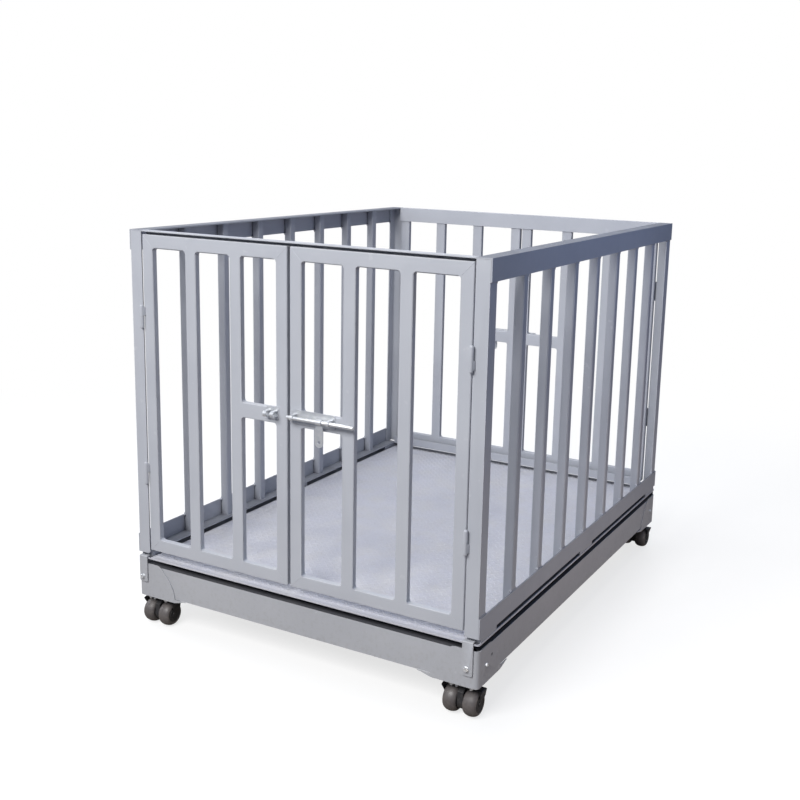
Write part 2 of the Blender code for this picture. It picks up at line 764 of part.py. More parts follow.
def load_cell_set(rib_bottom):
    # a cross member at each end carries two shear-beam cells, whose feet lift the ribs
    shelf = SKIRT_BOTTOM + SKIRT_WALL + GAP
    top = 0.148
    wall = 0.004
    reach = HALF_WIDTH - SKIRT_INSET - SKIRT_WALL - GAP
    lift = 0.005
    for end, end_name in ((-1, "front"), (1, "rear")):
        y = end * 0.675
        outline = [
            (y - 0.030, shelf),
            (y - 0.030 + wall, shelf),
            (y - 0.030 + wall, top - wall),
            (y + 0.030 - wall, top - wall),
            (y + 0.030 - wall, shelf),
            (y + 0.030, shelf),
            (y + 0.030, top),
            (y - 0.030, top),
        ]
        bm = bmesh.new()
        prism(bm, outline, -reach, reach, "X")
        member = add_object(end_name + "_cross_member", bm, PAINT_SHADE)
        spacers = bmesh.new()
        for side in (-1, 1):
            span = sorted((side * 0.395, side * 0.445))
            box(spacers, span, (y - 0.016, y + 0.016), (top - 0.001, top + lift))
        combine(member, add_object(end_name + "_cell_spacers", spacers, PAINT_SHADE), "UNION")

        for side, side_name in ((-1, "left"), (1, "right")):
            bm = bmesh.new()
            span = sorted((side * 0.395, side * 0.525))
            low = top + lift + GAP
            section = rounded_rectangle(0.016, 0.0125, 0.002, 1, (y, low + 0.0125))
            prism(bm, section, span[0], span[1], "X")
            name = end_name + "_" + side_name + "_load_cell"
            cell = add_object(name, bm, ALLOY)
            seat = low + 0.025 - 0.0006
            tall = rib_bottom - GAP - seat
            profile = [
                (0, 0),
                (0.013, 0),
                (0.013, 0.003),
                (0.007, 0.004),
                (0.007, tall - 0.005),
                (0.015, tall - 0.004),
                (0.015, tall),
                (0, tall),
            ]
            bm = bmesh.new()
            turned(bm, profile, 12, "Z", (side * 0.505, y, seat))
            combine(cell, add_object(name + "_foot", bm, ZINC), "UNION")

    bm = bmesh.new()
    section = rounded_rectangle(0.042, 0.055, 0.004, 2, (HALF_WIDTH - 0.050, 0.0))
    prism(bm, section, shelf, shelf + 0.038, "Z")
    cover = add_object("junction_box", bm, GREY_PLASTIC)
    bm = bmesh.new()
    profile = [(0, -0.05), (0.009, -0.05), (0.009, -0.064), (0.006, -0.072), (0, -0.072)]
    turned(bm, profile, 12, "Y", (HALF_WIDTH - 0.050, 0, shelf + 0.019))
    combine(cover, add_object("junction_box_gland", bm, GREY_PLASTIC), "UNION")


def caster_wheel(name, parent, x):
    # half of a twin wheel: full round tread, dished outer face, blind hub on the inner side
    bm = bmesh.new()
    out = 1 if x > 0 else -1
    radius = WHEEL_RADIUS
    half = WHEEL_HALF
    profile = [
        (0, half),
        (0.0085, half),
        (0.0100, half - 0.0012),
        (0.0225, half - 0.0012),
        (0.0310, 0.0182),
        (0.0358, 0.0125),
        (radius, 0.0045),
        (radius, -0.0045),
        (0.0358, -0.0125),
        (0.0310, -0.0182),
        (0.0225, 0.0010 - half),
        (0.0052, 0.0010 - half),
        (0.0052, 0.008),
        (0, 0.008),
    ]
    turned(bm, [(r, out * h) for r, h in profile], 18, "X", phase=math.pi / 18)
    return add_object(name, bm, BLACK_PLASTIC, (x, -CASTER_TRAIL, WHEEL_RADIUS), parent, True)


def caster_hood(name, frame):
    # swivel crown, web between the wheels, deep guard over and beside them, and the axle
    axle = (-CASTER_TRAIL, WHEEL_RADIUS)
    bm = bmesh.new()
    top = CASTER_TOP - GAP
    profile = [
        (0, top),
        (0.0270, top),
        (0.0315, top - 0.004),
        (0.0315, 0.0800),
        (0.0280, 0.0768),
        (0, 0.0768),
    ]
    turned(bm, profile, 14, "Z")
    hood = add_object(name, bm, BLACK_PLASTIC, parent=frame, smooth=True)

    bm = bmesh.new()
    outline = [(0.024, 0.0790), (0.020, 0.0600)]
    outline += arc(axle, 0.024, 20, -200, 9)
    outline += [(-0.046, 0.0680), (-0.030, 0.0790)]
    prism(bm, outline, -0.0085, 0.0085, "X")
    combine(hood, add_object(name + "_web", bm, BLACK_PLASTIC, parent=frame), "UNION")

    bm = bmesh.new()
    section = [
        (-0.0600, 0.0415),
        (0.0600, 0.0415),
        (0.0560, 0.0200),
        (0.0540, 0.0200),
        (0.0572, 0.0390),
        (-0.0572, 0.0390),
        (-0.0540, 0.0200),
        (-0.0560, 0.0200),
    ]
    rings = []
    # round the front of the wheels, then straight back over their tops
    path = [(t, 0.0) for t in (130, 120, 110, 100, 90)] + [(90, 0.020)]
    for turn, back in path:
        t = math.radians(turn)
        ring = []
        for x, r in section:
            point = (x, axle[0] + back + r * math.cos(t), axle[1] + r * math.sin(t))
            ring.append(bm.verts.new(point))
        rings.append(ring)
    count = len(section)
    for a, b in zip(rings, rings[1:]):
        for k in range(count):
            n = (k + 1) % count
            bm.faces.new((a[k], a[n], b[n], b[k]))
    bm.faces.new(rings[0])
    bm.faces.new(list(reversed(rings[-1])))
    combine(hood, add_object(name + "_guard", bm, BLACK_PLASTIC, parent=frame), "UNION")

    bm = bmesh.new()
    profile = [(0, -0.0365), (0.0048, -0.0365), (0.0048, 0.0365), (0, 0.0365)]
    turned(bm, profile, 12, "X", (0, axle[0], axle[1]))
    combine(hood, add_object(name + "_axle", bm, ZINC, parent=frame), "UNION")
    return hood


def caster_plate(name, x, y, end):
    # mounting plate with the nuts and tips of its four bolts, and a swivel-lock screw
    bm = bmesh.new()
    prism(
        bm,
        rounded_rectangle(0.0425, 0.0525, 0.008, 3, (x, y)),
        CASTER_TOP,
        CASTER_TOP + PLATE_THICKNESS,
        "Z",
    )
    plate = add_object(name, bm, BLACK_STEEL)
    seat = CASTER_TOP + 0.001
    bm = bmesh.new()
    for sx in (-1, 1):
        for sy in (-1, 1):
            profile = [
                (0, 0),
                (0.0092, 0),
                (0.0092, -0.0090),
                (0.0050, -0.0092),
                (0.0050, -0.0145),
                (0, -0.0145),
            ]
            turned(bm, profile, 6, "Z", (x + sx * 0.030, y + sy * 0.041, seat))
    combine(plate, add_object(name + "_nuts", bm, ZINC), "UNION")
    bm = bmesh.new()
    profile = [(0, 0), (0.0045, 0), (0.0045, -0.0130), (0, -0.0145)]
    turned(bm, profile, 8, "Z", (x - 0.014, y + end * 0.041, seat))
    combine(plate, add_object(name + "_screw", bm, ZINC), "UNION")


def caster(label, side, end):
    x = side * CASTER_X
    y = end * CASTER_Y
    frame = add_empty(label + "_caster", (x, y, 0), 0.0 if end < 0 else math.pi)
    hood = caster_hood(label + "_caster_hood", frame)
    caster_wheel(label + "_caster_wheel_a", hood, -WHEEL_SPREAD)
    caster_wheel(label + "_caster_wheel_b", hood, WHEEL_SPREAD)
    caster_plate(label + "_caster_plate", x, y, end)


for old in list(bpy.data.objects):
    bpy.data.objects.remove(old, do_unlink=True)

for side, side_name in ((-1, "left"), (1, "right")):
    side_frame(side_name, side)
    for end, end_name in ((-1, "front"), (1, "rear")):
        post(end_name + "_" + side_name + "_post", side, end)
header("front_header", -1)
header("rear_header", 1)
rear_sill()

gate("front", 0.0, FRONT_SEAM, ("front_left_door", "front_right_door"))
gate("rear", math.pi, REAR_SEAM, ("rear_right_door", "rear_left_door"))

drill = skirt()
load_cell_set(deck())
for side, side_name in ((-1, "left"), (1, "right")):
    for end, end_name in ((-1, "front"), (1, "rear")):
        corner = end_name + "_" + side_name
        bored = drill if side > 0 and end < 0 else None
        corner_shroud(corner + "_shroud", side, end, bored)
        caster(corner, side, end)
hold_down_strap("front_left_strap", (-0.584, -0.554), -1, 0.144, -0.572, 0.160)
hold_down_strap("front_right_strap", (0.543, 0.575), -1, 0.131, 0.557, 0.150)
hold_down_strap("rear_right_strap", (-0.584, -0.554), 1, 0.144, -0.572, 0.160)
hold_down_strap("rear_left_strap", (0.543, 0.575), 1, 0.131, 0.557, 0.150)
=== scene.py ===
import json
import math

import bmesh
import bpy
from mathutils import Matrix, Vector


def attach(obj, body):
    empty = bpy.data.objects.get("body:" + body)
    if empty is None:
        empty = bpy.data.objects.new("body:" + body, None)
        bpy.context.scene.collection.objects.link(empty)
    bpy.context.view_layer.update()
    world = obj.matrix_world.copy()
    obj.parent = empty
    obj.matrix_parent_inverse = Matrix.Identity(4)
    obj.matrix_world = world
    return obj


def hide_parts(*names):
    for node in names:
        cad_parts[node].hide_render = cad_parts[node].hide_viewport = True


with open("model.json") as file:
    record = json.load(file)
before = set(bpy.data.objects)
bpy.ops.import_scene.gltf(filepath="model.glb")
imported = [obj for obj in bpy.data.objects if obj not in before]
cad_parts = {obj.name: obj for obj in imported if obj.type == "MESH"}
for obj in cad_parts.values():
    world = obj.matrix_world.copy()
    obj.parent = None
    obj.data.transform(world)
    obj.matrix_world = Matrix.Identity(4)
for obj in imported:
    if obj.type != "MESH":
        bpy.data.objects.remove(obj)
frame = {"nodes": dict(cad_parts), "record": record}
print("frame loaded")

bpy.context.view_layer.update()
record = frame["record"]
bodyOf = {node: body for body, members in record["behaviour"]["bodies"].items() for node in members}
slotOf = {part["node"]: part["material_slot"] for part in record["subparts"]}
corners = {
    "front_left": (-1, -1),
    "front_right": (1, -1),
    "rear_left": (-1, 1),
    "rear_right": (1, 1),
}


# Shader helpers

def addNode(tree, kind, settings=None, **inputs):
    node = tree.nodes.new(kind)
    for key, value in (settings or {}).items():
        setattr(node, key, value)
    for key, value in inputs.items():
        socket = node.inputs[int(key[1:])] if key[0] == "i" and key[1:].isdigit() else node.inputs[key]
        if isinstance(value, bpy.types.NodeSocket):
            tree.links.new(value, socket)
        else:
            socket.default_value = value
    return node


def math2(tree, operation, a, b=0.0, clamp=False):
    node = addNode(tree, "ShaderNodeMath", {"operation": operation, "use_clamp": clamp}, i0=a, i1=b)
    return node.outputs[0]


def mixColour(tree, factor, a, b, blend="MIX"):
    node = addNode(tree, "ShaderNodeMix", {"data_type": "RGBA", "blend_type": blend})
    for index, value in ((0, factor), (6, a), (7, b)):
        if isinstance(value, bpy.types.NodeSocket):
            tree.links.new(value, node.inputs[index])
        else:
            node.inputs[index].default_value = value if index == 0 else (*value, 1.0)
    return node.outputs[2]


def remap(tree, value, low, high, toLow=0.0, toHigh=1.0):
    ends = {"i0": value, "i1": low, "i2": high, "i3": toLow, "i4": toHigh}
    return addNode(tree, "ShaderNodeMapRange", {"interpolation_type": "SMOOTHSTEP"}, **ends).outputs[0]


def noise(tree, vector, scale, detail=3.0, roughness=0.5):
    inputs = {"Vector": vector, "Scale": scale, "Detail": detail, "Roughness": roughness}
    return addNode(tree, "ShaderNodeTexNoise", **inputs).outputs["Fac"]


def dotProduct(tree, a, b):
    return addNode(tree, "ShaderNodeVectorMath", {"operation": "DOT_PRODUCT"}, i0=a, i1=b).outputs["Value"]


def facingUp(tree):
    normal = tree.nodes.new("ShaderNodeNewGeometry").outputs["Normal"]
    return addNode(tree, "ShaderNodeSeparateXYZ", Vector=normal).outputs["Z"]


def objectPlace(tree):
    return tree.nodes.new("ShaderNodeTexCoord").outputs["Object"]


def makeGroup(name, ins, outs):
    # each input is a number or a direction, each output a number
    group = bpy.data.node_groups.new(name, "ShaderNodeTree")
    for label, value in ins.items():
        kind = "NodeSocketVector" if isinstance(value, tuple) else "NodeSocketFloat"
        group.interface.new_socket(label, in_out="INPUT", socket_type=kind).default_value = value
    for label in outs:
        group.interface.new_socket(label, in_out="OUTPUT", socket_type="NodeSocketFloat")
    start = group.nodes.new("NodeGroupInput")
    end = group.nodes.new("NodeGroupOutput")
    return group, start.outputs, end.inputs, objectPlace(group)


def makeEdgeWearAndHighlight():
    # how much of a corner lies at each point, broken up so that rubbed spots come and go
    inputs = {"Width": 0.002, "Patch Scale": 60.0}
    group, ins, outs, place = makeGroup("edgeWearAndHighlight", inputs, ("Edge", "Rubbed"))
    rounded = addNode(group, "ShaderNodeBevel", {"samples": 4}, Radius=ins["Width"])
    surface = group.nodes.new("ShaderNodeNewGeometry").outputs["Normal"]
    edge = remap(group, dotProduct(group, rounded.outputs["Normal"], surface), 0.995, 0.86)
    patches = noise(group, place, ins["Patch Scale"], 4.0, 0.6)
    rubbed = math2(group, "MULTIPLY", edge, remap(group, patches, 0.52, 0.68))
    group.links.new(edge, outs["Edge"])
    group.links.new(rubbed, outs["Rubbed"])
    return group


def makeSprayCoat():
    # sprayed enamel: fine orange peel, slow drift of tone, and thin runs of heavier coat
    inputs = {"Peel Scale": 420.0, "Drift Scale": 5.0}
    group, ins, outs, place = makeGroup("sprayCoat", inputs, ("Height", "Drift", "Gloss"))
    peel = noise(group, place, ins["Peel Scale"], 2.0, 0.45)
    swell = noise(group, place, 46.0, 2.0, 0.5)
    height = math2(group, "ADD", peel, math2(group, "MULTIPLY", swell, 1.6))
    drift = noise(group, place, ins["Drift Scale"], 3.0, 0.55)
    gloss = noise(group, place, 17.0, 4.0, 0.6)
    group.links.new(height, outs["Height"])
    group.links.new(remap(group, drift, 0.3, 0.7), outs["Drift"])
    group.links.new(remap(group, gloss, 0.3, 0.7), outs["Gloss"])
    return group


def makeDustFall():
    # dust that lies on faces turned up, and splashed dirt that thickens towards the floor
    group, ins, outs, place = makeGroup("dustFall", {"Splash Height": 0.22}, ("Dust", "Splash"))
    up = facingUp(group)
    height = addNode(group, "ShaderNodeSeparateXYZ", Vector=place).outputs["Z"]
    speckle = noise(group, place, 90.0, 5.0, 0.65)
    cloud = noise(group, place, 9.0, 4.0, 0.6)
    level = remap(group, up, 0.5, 0.98)
    dust = math2(group, "MULTIPLY", level, remap(group, cloud, 0.35, 0.75))
    low = remap(group, height, ins["Splash Height"], 0.02)
    spots = math2(group, "MULTIPLY", remap(group, speckle, 0.48, 0.66), low)
    group.links.new(dust, outs["Dust"])
    group.links.new(spots, outs["Splash"])
    return group


def makeFineScratches():
    # hairline scratches in two crossing directions
    inputs = {"Scale": 30.0, "Amount": 0.5}
    group, ins, outs, place = makeGroup("fineScratches", inputs, ("Scratch",))
    total = None
    for turn, squeeze in ((0.35, (1.0, 26.0, 1.0)), (-0.9, (30.0, 1.0, 1.0))):
        lay = addNode(group, "ShaderNodeMapping", Vector=place)
        lay.inputs["Rotation"].default_value = (turn, 0.4, turn)
        lay.inputs["Scale"].default_value = squeeze
        streak = noise(group, lay.outputs[0], ins["Scale"], 2.0, 0.5)
        line = remap(group, streak, 0.70, 0.74)
        total = line if total is None else math2(group, "MAXIMUM", total, line)
    group.links.new(math2(group, "MULTIPLY", total, ins["Amount"]), outs["Scratch"])
    return group


def makeHollowShade():
    # painted shade: a darker colour in slots and under overhangs, where little open air reaches the surface
    group, ins, outs = makeGroup("hollowShade", {"Reach": 0.05}, ("Painted Shade",))[:3]
    around = addNode(group, "ShaderNodeAmbientOcclusion", {"samples": 6}, Distance=ins["Reach"])
    group.links.new(remap(group, around.outputs["AO"], 0.46, 0.20), outs["Painted Shade"])
    return group


def makeShadedStrip():
    # painted shade on a level strip between two distances along one axis
    inputs = {"Axis": (1.0, 0.0, 0.0), "Low": 0.0, "High": 0.0}
    group, ins, outs, place = makeGroup("shadedStrip", inputs, ("Strip Shade",))
    distance = math2(group, "ABSOLUTE", dotProduct(group, place, ins["Axis"]))
    inside = math2(group, "GREATER_THAN", distance, ins["Low"])
    inside = math2(group, "MULTIPLY", inside, math2(group, "LESS_THAN", distance, ins["High"]))
    level = math2(group, "GREATER_THAN", facingUp(group), 0.9)
    group.links.new(math2(group, "MULTIPLY", inside, level), outs["Strip Shade"])
    return group


edgeWearAndHighlight = makeEdgeWearAndHighlight()
sprayCoat = makeSprayCoat()
dustFall = makeDustFall()
fineScratches = makeFineScratches()
hollowShade = makeHollowShade()
shadedStrip = makeShadedStrip()


def mixShader(tree, factor, a, b):
    return addNode(tree, "ShaderNodeMixShader", i0=factor, i1=a, i2=b).outputs[0]


def useGroup(tree, group, **inputs):
    node = tree.nodes.new("ShaderNodeGroup")
    node.node_tree = group
    for key, value in inputs.items():
        node.inputs[key.replace("_", " ")].default_value = value
    return node.outputs


def startMaterial(name):
    material = bpy.data.materials.new(name)
    material.use_nodes = True
    tree = material.node_tree
    return material, tree, tree.nodes["Principled BSDF"]


def linkLook(tree, shader, colour, roughness, height, depth):
    bump = addNode(tree, "ShaderNodeBump", Height=height, Distance=depth, Strength=1.0)
    tree.links.new(colour, shader.inputs["Base Color"])
    tree.links.new(roughness, shader.inputs["Roughness"])
    tree.links.new(bump.outputs["Normal"], shader.inputs["Normal"])


def layOver(tree, colour, mask, strength, top):
    # a second colour where the mask is, as strong as asked
    return mixColour(tree, math2(tree, "MULTIPLY", mask, strength), colour, top)


def scaled(tree, value, factor, offset):
    result = math2(tree, "MULTIPLY_ADD", value, factor)
    result.node.inputs[2].default_value = offset
    return result


def paintedSteel(name, look):
    material, tree, shader = startMaterial(name)
    coat = useGroup(tree, sprayCoat, Drift_Scale=look["driftScale"])
    edges = useGroup(tree, edgeWearAndHighlight, Width=look["edgeWidth"])
    dirt = useGroup(tree, dustFall, Splash_Height=look["splashHeight"])
    marks = useGroup(tree, fineScratches, Amount=look["scratches"])
    colour = mixColour(tree, coat["Drift"], look["colour"], look["secondColour"])
    # painted highlight: a lighter colour along every edge, partly real wear; the hairline scratches below
    # take the same colour
    colour = layOver(tree, colour, edges["Edge"], look["edge"], look["edgeLightAndScratchColour"])
    colour = layOver(tree, colour, edges["Rubbed"], look["rub"], look["rubColour"])
    colour = layOver(tree, colour, dirt["Dust"], look["dust"], look["dustColour"])
    colour = layOver(tree, colour, dirt["Splash"], look["splash"], look["splashColour"])
    colour = mixColour(tree, marks["Scratch"], colour, look["edgeLightAndScratchColour"])
    # painted shade: the colour turns towards a near-black shade colour in slots, under overhangs and on the
    # level strips a paint lists
    hollowDarkening = useGroup(tree, hollowShade)
    paintedShade = math2(tree, "MULTIPLY", hollowDarkening["Painted Shade"], look["paintedShade"])
    if "shadedStrip" in look:
        strip = useGroup(tree, shadedStrip, **look["shadedStrip"])
        stripDarkening = math2(tree, "MULTIPLY", strip["Strip Shade"], look["stripShade"])
        paintedShade = math2(tree, "MAXIMUM", paintedShade, stripDarkening)
    colour = mixColour(tree, paintedShade, colour, look["shadeColour"])
    rough = scaled(tree, coat["Gloss"], 0.12, look["roughness"])
    rough = math2(tree, "ADD", rough, math2(tree, "MULTIPLY", dirt["Dust"], 0.25), True)
    height = math2(tree, "SUBTRACT", coat["Height"], math2(tree, "MULTIPLY", marks["Scratch"], 1.5))
    linkLook(tree, shader, colour, rough, height, look["peel"])
    shader.inputs["Specular IOR Level"].default_value = 0.35
    return material


# gate paint; its shade strength and near-black shade colour paint shade into hollows, and its edge strength
# and light edge colour paint a highlight on every edge, partly wear
gatePaint = {
    "colour": (0.462, 0.478, 0.520),
    "secondColour": (0.430, 0.446, 0.490),
    "edgeLightAndScratchColour": (0.58, 0.59, 0.62),
    "edge": 0.35,
    "paintedShade": 0.3,
    "shadeColour": (0.030, 0.031, 0.040),
    "roughness": 0.36,
    "driftScale": 4.0,
    "edgeWidth": 0.0025,
    "splashHeight": 0.30,
    "splash": 0.25,
    "splashColour": (0.22, 0.20, 0.18),
    "dust": 0.25,
    "dustColour": (0.56, 0.54, 0.50),
    "stripShade": 0.93,
    "scratches": 0.25,
    "rub": 0.5,
    "rubColour": (0.30, 0.29, 0.28),
    "peel": 0.00012,
}
# the side frames' paint is a darker copy of the gate paint, painted shade for sides that face away from the
# light; painted shade also darkens the rails' level faces between the listed distances, and hollows
# strongly; its dust colour is dark, so faces turned up darken in patches
shadedSidePaint = dict(
    gatePaint,
    colour=(0.405, 0.420, 0.465),
    secondColour=(0.375, 0.390, 0.435),
    paintedShade=0.9,
    dust=0.5,
    dustColour=(0.25, 0.25, 0.26),
    shadedStrip={"Axis": (1.0, 0.0, 0.0), "Low": 0.5440, "High": 0.5905},
    stripShade=0.45,
)
# base paint: painted shade on the skirts' top flange under the deck edge, between the listed heights, and
# strong painted shade in hollows
basePaint = dict(
    gatePaint,
    colour=(0.430, 0.440, 0.470),
    secondColour=(0.400, 0.410, 0.440),
    splash=0.22,
    scratches=0.4,
    paintedShade=0.9,
    stripShade=0.85,
    shadedStrip={"Axis": (0.0, 0.0, 1.0), "Low": 0.1965, "High": 0.1990},
)
# a darker copy of the gate paint for the parts under the deck: painted shade
shadedUnderPaint = dict(
    gatePaint,
    colour=(0.30, 0.31, 0.34),
    secondColour=(0.26, 0.27, 0.30),
    roughness=0.5,
)
# deck paint: a strong light edge colour makes the tread pattern stand out, a painted highlight; painted
# shade darkens the strip of deck under the side rails' shelves, and hollows
treadPaint = dict(
    gatePaint,
    colour=(0.505, 0.507, 0.560),
    secondColour=(0.468, 0.472, 0.525),
    roughness=0.42,
    driftScale=3.0,
    scratches=0.45,
    dust=0.35,
    paintedShade=0.9,
    edge=0.85,
    shadedStrip={"Axis": (1.0, 0.0, 0.0), "Low": 0.5455, "High": 0.5862},
)
# the deck plate's rim: a wide, light edge colour, a painted highlight
deckEdgePaint = dict(treadPaint, edge=0.7, edgeWidth=0.0035, edgeLightAndScratchColour=(0.66, 0.68, 0.74))
blackSteel = dict(
    gatePaint,
    colour=(0.030, 0.030, 0.034),
    secondColour=(0.022, 0.022, 0.025),
    edgeLightAndScratchColour=(0.10, 0.10, 0.10),
    roughness=0.4,
)

paints = {
    "gatePaint": gatePaint,
    "shadedSidePaint": shadedSidePaint,
    "basePaint": basePaint,
    "shadedUnderPaint": shadedUnderPaint,
    "treadPaint": treadPaint,
    "deckEdgePaint": deckEdgePaint,
    "blackSteel": blackSteel,
}
finishes = {name: paintedSteel(name, look) for name, look in paints.items()}


def platedSteel(name, look):
    # bright metal: cloudy surface, drawn grain and dull worn corners
    material, tree, shader = startMaterial(name)
    place = objectPlace(tree)
    edges = useGroup(tree, edgeWearAndHighlight, Width=0.0012, Patch_Scale=150.0)
    marks = useGroup(tree, fineScratches, Scale=90.0, Amount=0.5)
    cloud = noise(tree, place, look["cloudScale"], 4.0, 0.6)
    grain = noise(tree, place, 900.0, 2.0, 0.5)
    colour = mixColour(tree, remap(tree, cloud, 0.35, 0.65), look["colour"], look["secondColour"])
    colour = mixColour(tree, edges["Rubbed"], colour, look["wornColour"])
    rough = scaled(tree, cloud, 0.25, look["roughness"])
    rough = math2(tree, "ADD", rough, math2(tree, "MULTIPLY", marks["Scratch"], 0.15))
    height = math2(tree, "SUBTRACT", grain, marks["Scratch"])
    linkLook(tree, shader, colour, rough, height, look["grain"])
    shader.inputs["Metallic"].default_value = look["metallic"]
    return material


zincLook = {
    "colour": (0.76, 0.77, 0.78),
    "secondColour": (0.66, 0.68, 0.71),
    "wornColour": (0.48, 0.47, 0.45),
    "roughness": 0.24,
    "cloudScale": 70.0,
    "grain": 0.00003,
    "metallic": 0.62,
}
alloyLook = dict(
    zincLook,
    colour=(0.66, 0.67, 0.68),
    secondColour=(0.56, 0.57, 0.58),
    metallic=0.95,
    roughness=0.26,
    cloudScale=25.0,
)
finishes["zinc"] = platedSteel("zinc", zincLook)
finishes["cellAlloy"] = platedSteel("cellAlloy", alloyLook)


def mouldedPlastic(name, look):
    # moulded plastic: fine texture, dust in the rough spots and scuffs on the rims
    material, tree, shader = startMaterial(name)
    place = objectPlace(tree)
    edges = useGroup(tree, edgeWearAndHighlight, Width=0.0015, Patch_Scale=120.0)
    dirt = useGroup(tree, dustFall, Splash_Height=0.10)
    marks = useGroup(tree, fineScratches, Scale=60.0, Amount=0.6)
    cloud = remap(tree, noise(tree, place, 35.0, 4.0, 0.6), 0.3, 0.7)
    colour = mixColour(tree, cloud, look["colour"], look["secondColour"])
    colour = layOver(tree, colour, edges["Edge"], 0.4, look["scuffColour"])
    colour = layOver(tree, colour, dirt["Splash"], look["dust"], look["dustColour"])
    colour = layOver(tree, colour, marks["Scratch"], 0.5, look["scuffColour"])
    rough = scaled(tree, cloud, 0.14, look["roughness"])
    grain = noise(tree, place, look["grainScale"], 2.0, 0.5)
    linkLook(tree, shader, colour, rough, grain, look["grain"])
    return material


wheelLook = {
    "colour": (0.022, 0.021, 0.023),
    "secondColour": (0.016, 0.015, 0.017),
    "scuffColour": (0.06, 0.06, 0.06),
    "roughness": 0.42,
    "dust": 0.15,
    "dustColour": (0.20, 0.18, 0.16),
    "grainScale": 1400.0,
    "grain": 0.00003,
}
tyreLook = dict(
    wheelLook,
    colour=(0.120, 0.108, 0.106),
    secondColour=(0.090, 0.080, 0.079),
    scuffColour=(0.19, 0.18, 0.175),
    roughness=0.40,
    dust=0.30,
)
hoodLook = dict(
    wheelLook,
    colour=(0.028, 0.027, 0.030),
    secondColour=(0.020, 0.020, 0.022),
    roughness=0.38,
)
boxLook = dict(
    wheelLook,
    colour=(0.36, 0.37, 0.39),
    secondColour=(0.33, 0.34, 0.36),
    scuffColour=(0.45, 0.45, 0.46),
    roughness=0.5,
)
plastics = {"wheelPlastic": wheelLook, "tyre": tyreLook, "hoodPlastic": hoodLook, "boxPlastic": boxLook}
for name, look in plastics.items():
    finishes[name] = mouldedPlastic(name, look)
print("finishes made")


# Mesh helpers

# points nearer than these are one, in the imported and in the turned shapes
packedWeld = 0.00002
turnedWeld = 0.00001
flatAngle = math.radians(0.6)
cornerAngle = math.radians(32)
# a shape that is cut off at a face: the width of its corners, and how far past the face it is cut
trimSoft = 0.0006
trimGap = 0.0001


def addObject(name, data):
    added = bpy.data.objects.new(name, data)
    bpy.context.scene.collection.objects.link(added)
    return added


def moveAll(bm, shift):
    bmesh.ops.translate(bm, vec=shift, verts=bm.verts)


def turnAll(bm, turn):
    bmesh.ops.rotate(bm, matrix=turn, verts=bm.verts)


def finishPiece(name, bm, finish, node, smoothAngle=35.0):
    # a shape that rides with an imported node's body, in the finish given by name
    body, slot = bodyOf[node], slotOf[node]
    mesh = bpy.data.meshes.new(name)
    bm.to_mesh(mesh)
    bm.free()
    mesh.materials.append(finishes[finish])
    mesh.shade_smooth()
    mesh.set_sharp_from_angle(angle=math.radians(smoothAngle))
    piece = addObject(name, mesh)
    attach(piece, body)
    return piece


def softenEdges(piece, width):
    rounding = piece.modifiers.new("softEdges", "BEVEL")
    rounding.width = width
    rounding.segments = 2
    rounding.limit_method = "ANGLE"
    rounding.angle_limit = cornerAngle
    rounding.harden_normals = True


def onlyVerts(items):
    return [item for item in items if isinstance(item, bmesh.types.BMVert)]


def onlyEdges(items):
    return [item for item in items if isinstance(item, bmesh.types.BMEdge)]


def softCopy(node, finish, width, limit=None):
    # the node's own shape with eased corners, cut at a point and a direction if asked
    bm = bmesh.new()
    bm.from_mesh(frame["nodes"][node].data)
    bmesh.ops.remove_doubles(bm, verts=bm.verts, dist=packedWeld)
    if limit:
        point, outward = limit
        everything = bm.verts[:] + bm.edges[:] + bm.faces[:]
        cut = bmesh.ops.bisect_plane(bm, geom=everything, plane_co=point, plane_no=outward, clear_outer=True)
        bmesh.ops.holes_fill(bm, edges=onlyEdges(cut["geom_cut"]))
    bmesh.ops.dissolve_limit(bm, angle_limit=flatAngle, verts=bm.verts, edges=bm.edges)
    piece = finishPiece(node + "_eased", bm, finish, node)
    softenEdges(piece, width)
    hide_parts(node)


def trimmedCopy(node, finish, face, outward):
    # the same without what stands out past a face, for nuts and bolts that are made anew
    softCopy(node, finish, trimSoft, (Vector(outward) * (face + trimGap), outward))


# Cage, gates and base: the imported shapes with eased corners

easing = (
    ("shadedSidePaint", 0.0008, ("left_side_frame", "right_side_frame")),
    ("gatePaint", 0.0008, ("front_header", "rear_header", "rear_sill")),
    ("basePaint", 0.0012, tuple(side + "_skirt_beam" for side in ("front", "rear", "left", "right"))),
    ("deckEdgePaint", 0.0010, ("deck_plate",)),
    ("shadedUnderPaint", 0.0010, ("front_cross_member", "rear_cross_member")),
    ("boxPlastic", 0.0008, ("junction_box",)),
)
for finish, width, nodes in easing:
    for node in nodes:
        softCopy(node, finish, width)
for corner in corners:
    softCopy(corner + "_post", "gatePaint", 0.0008)
    softCopy(corner + "_door", "gatePaint", 0.0006)
    softCopy(corner + "_load_cell", "cellAlloy", 0.0006)

for holder in frame["nodes"]["deck_ribs"].material_slots:
    holder.material = finishes["shadedUnderPaint"]
print("eased shapes placed")


# Turned, cut and joined shapes

def rotation(degrees, axis):
    return Matrix.Rotation(math.radians(degrees), 3, axis)


facing = {
    "X": rotation(90, "Y"),
    "-X": rotation(-90, "Y"),
    "Y": rotation(-90, "X"),
    "-Y": rotation(90, "X"),
    "Z": Matrix.Identity(3),
    "-Z": rotation(180, "X"),
}


def arcPoints(centre, radius, start, end, steps):
    points = []
    for k in range(steps + 1):
        angle = math.radians(start + (end - start) * k / steps)
        points.append((centre[0] + radius * math.cos(angle), centre[1] + radius * math.sin(angle)))
    return points


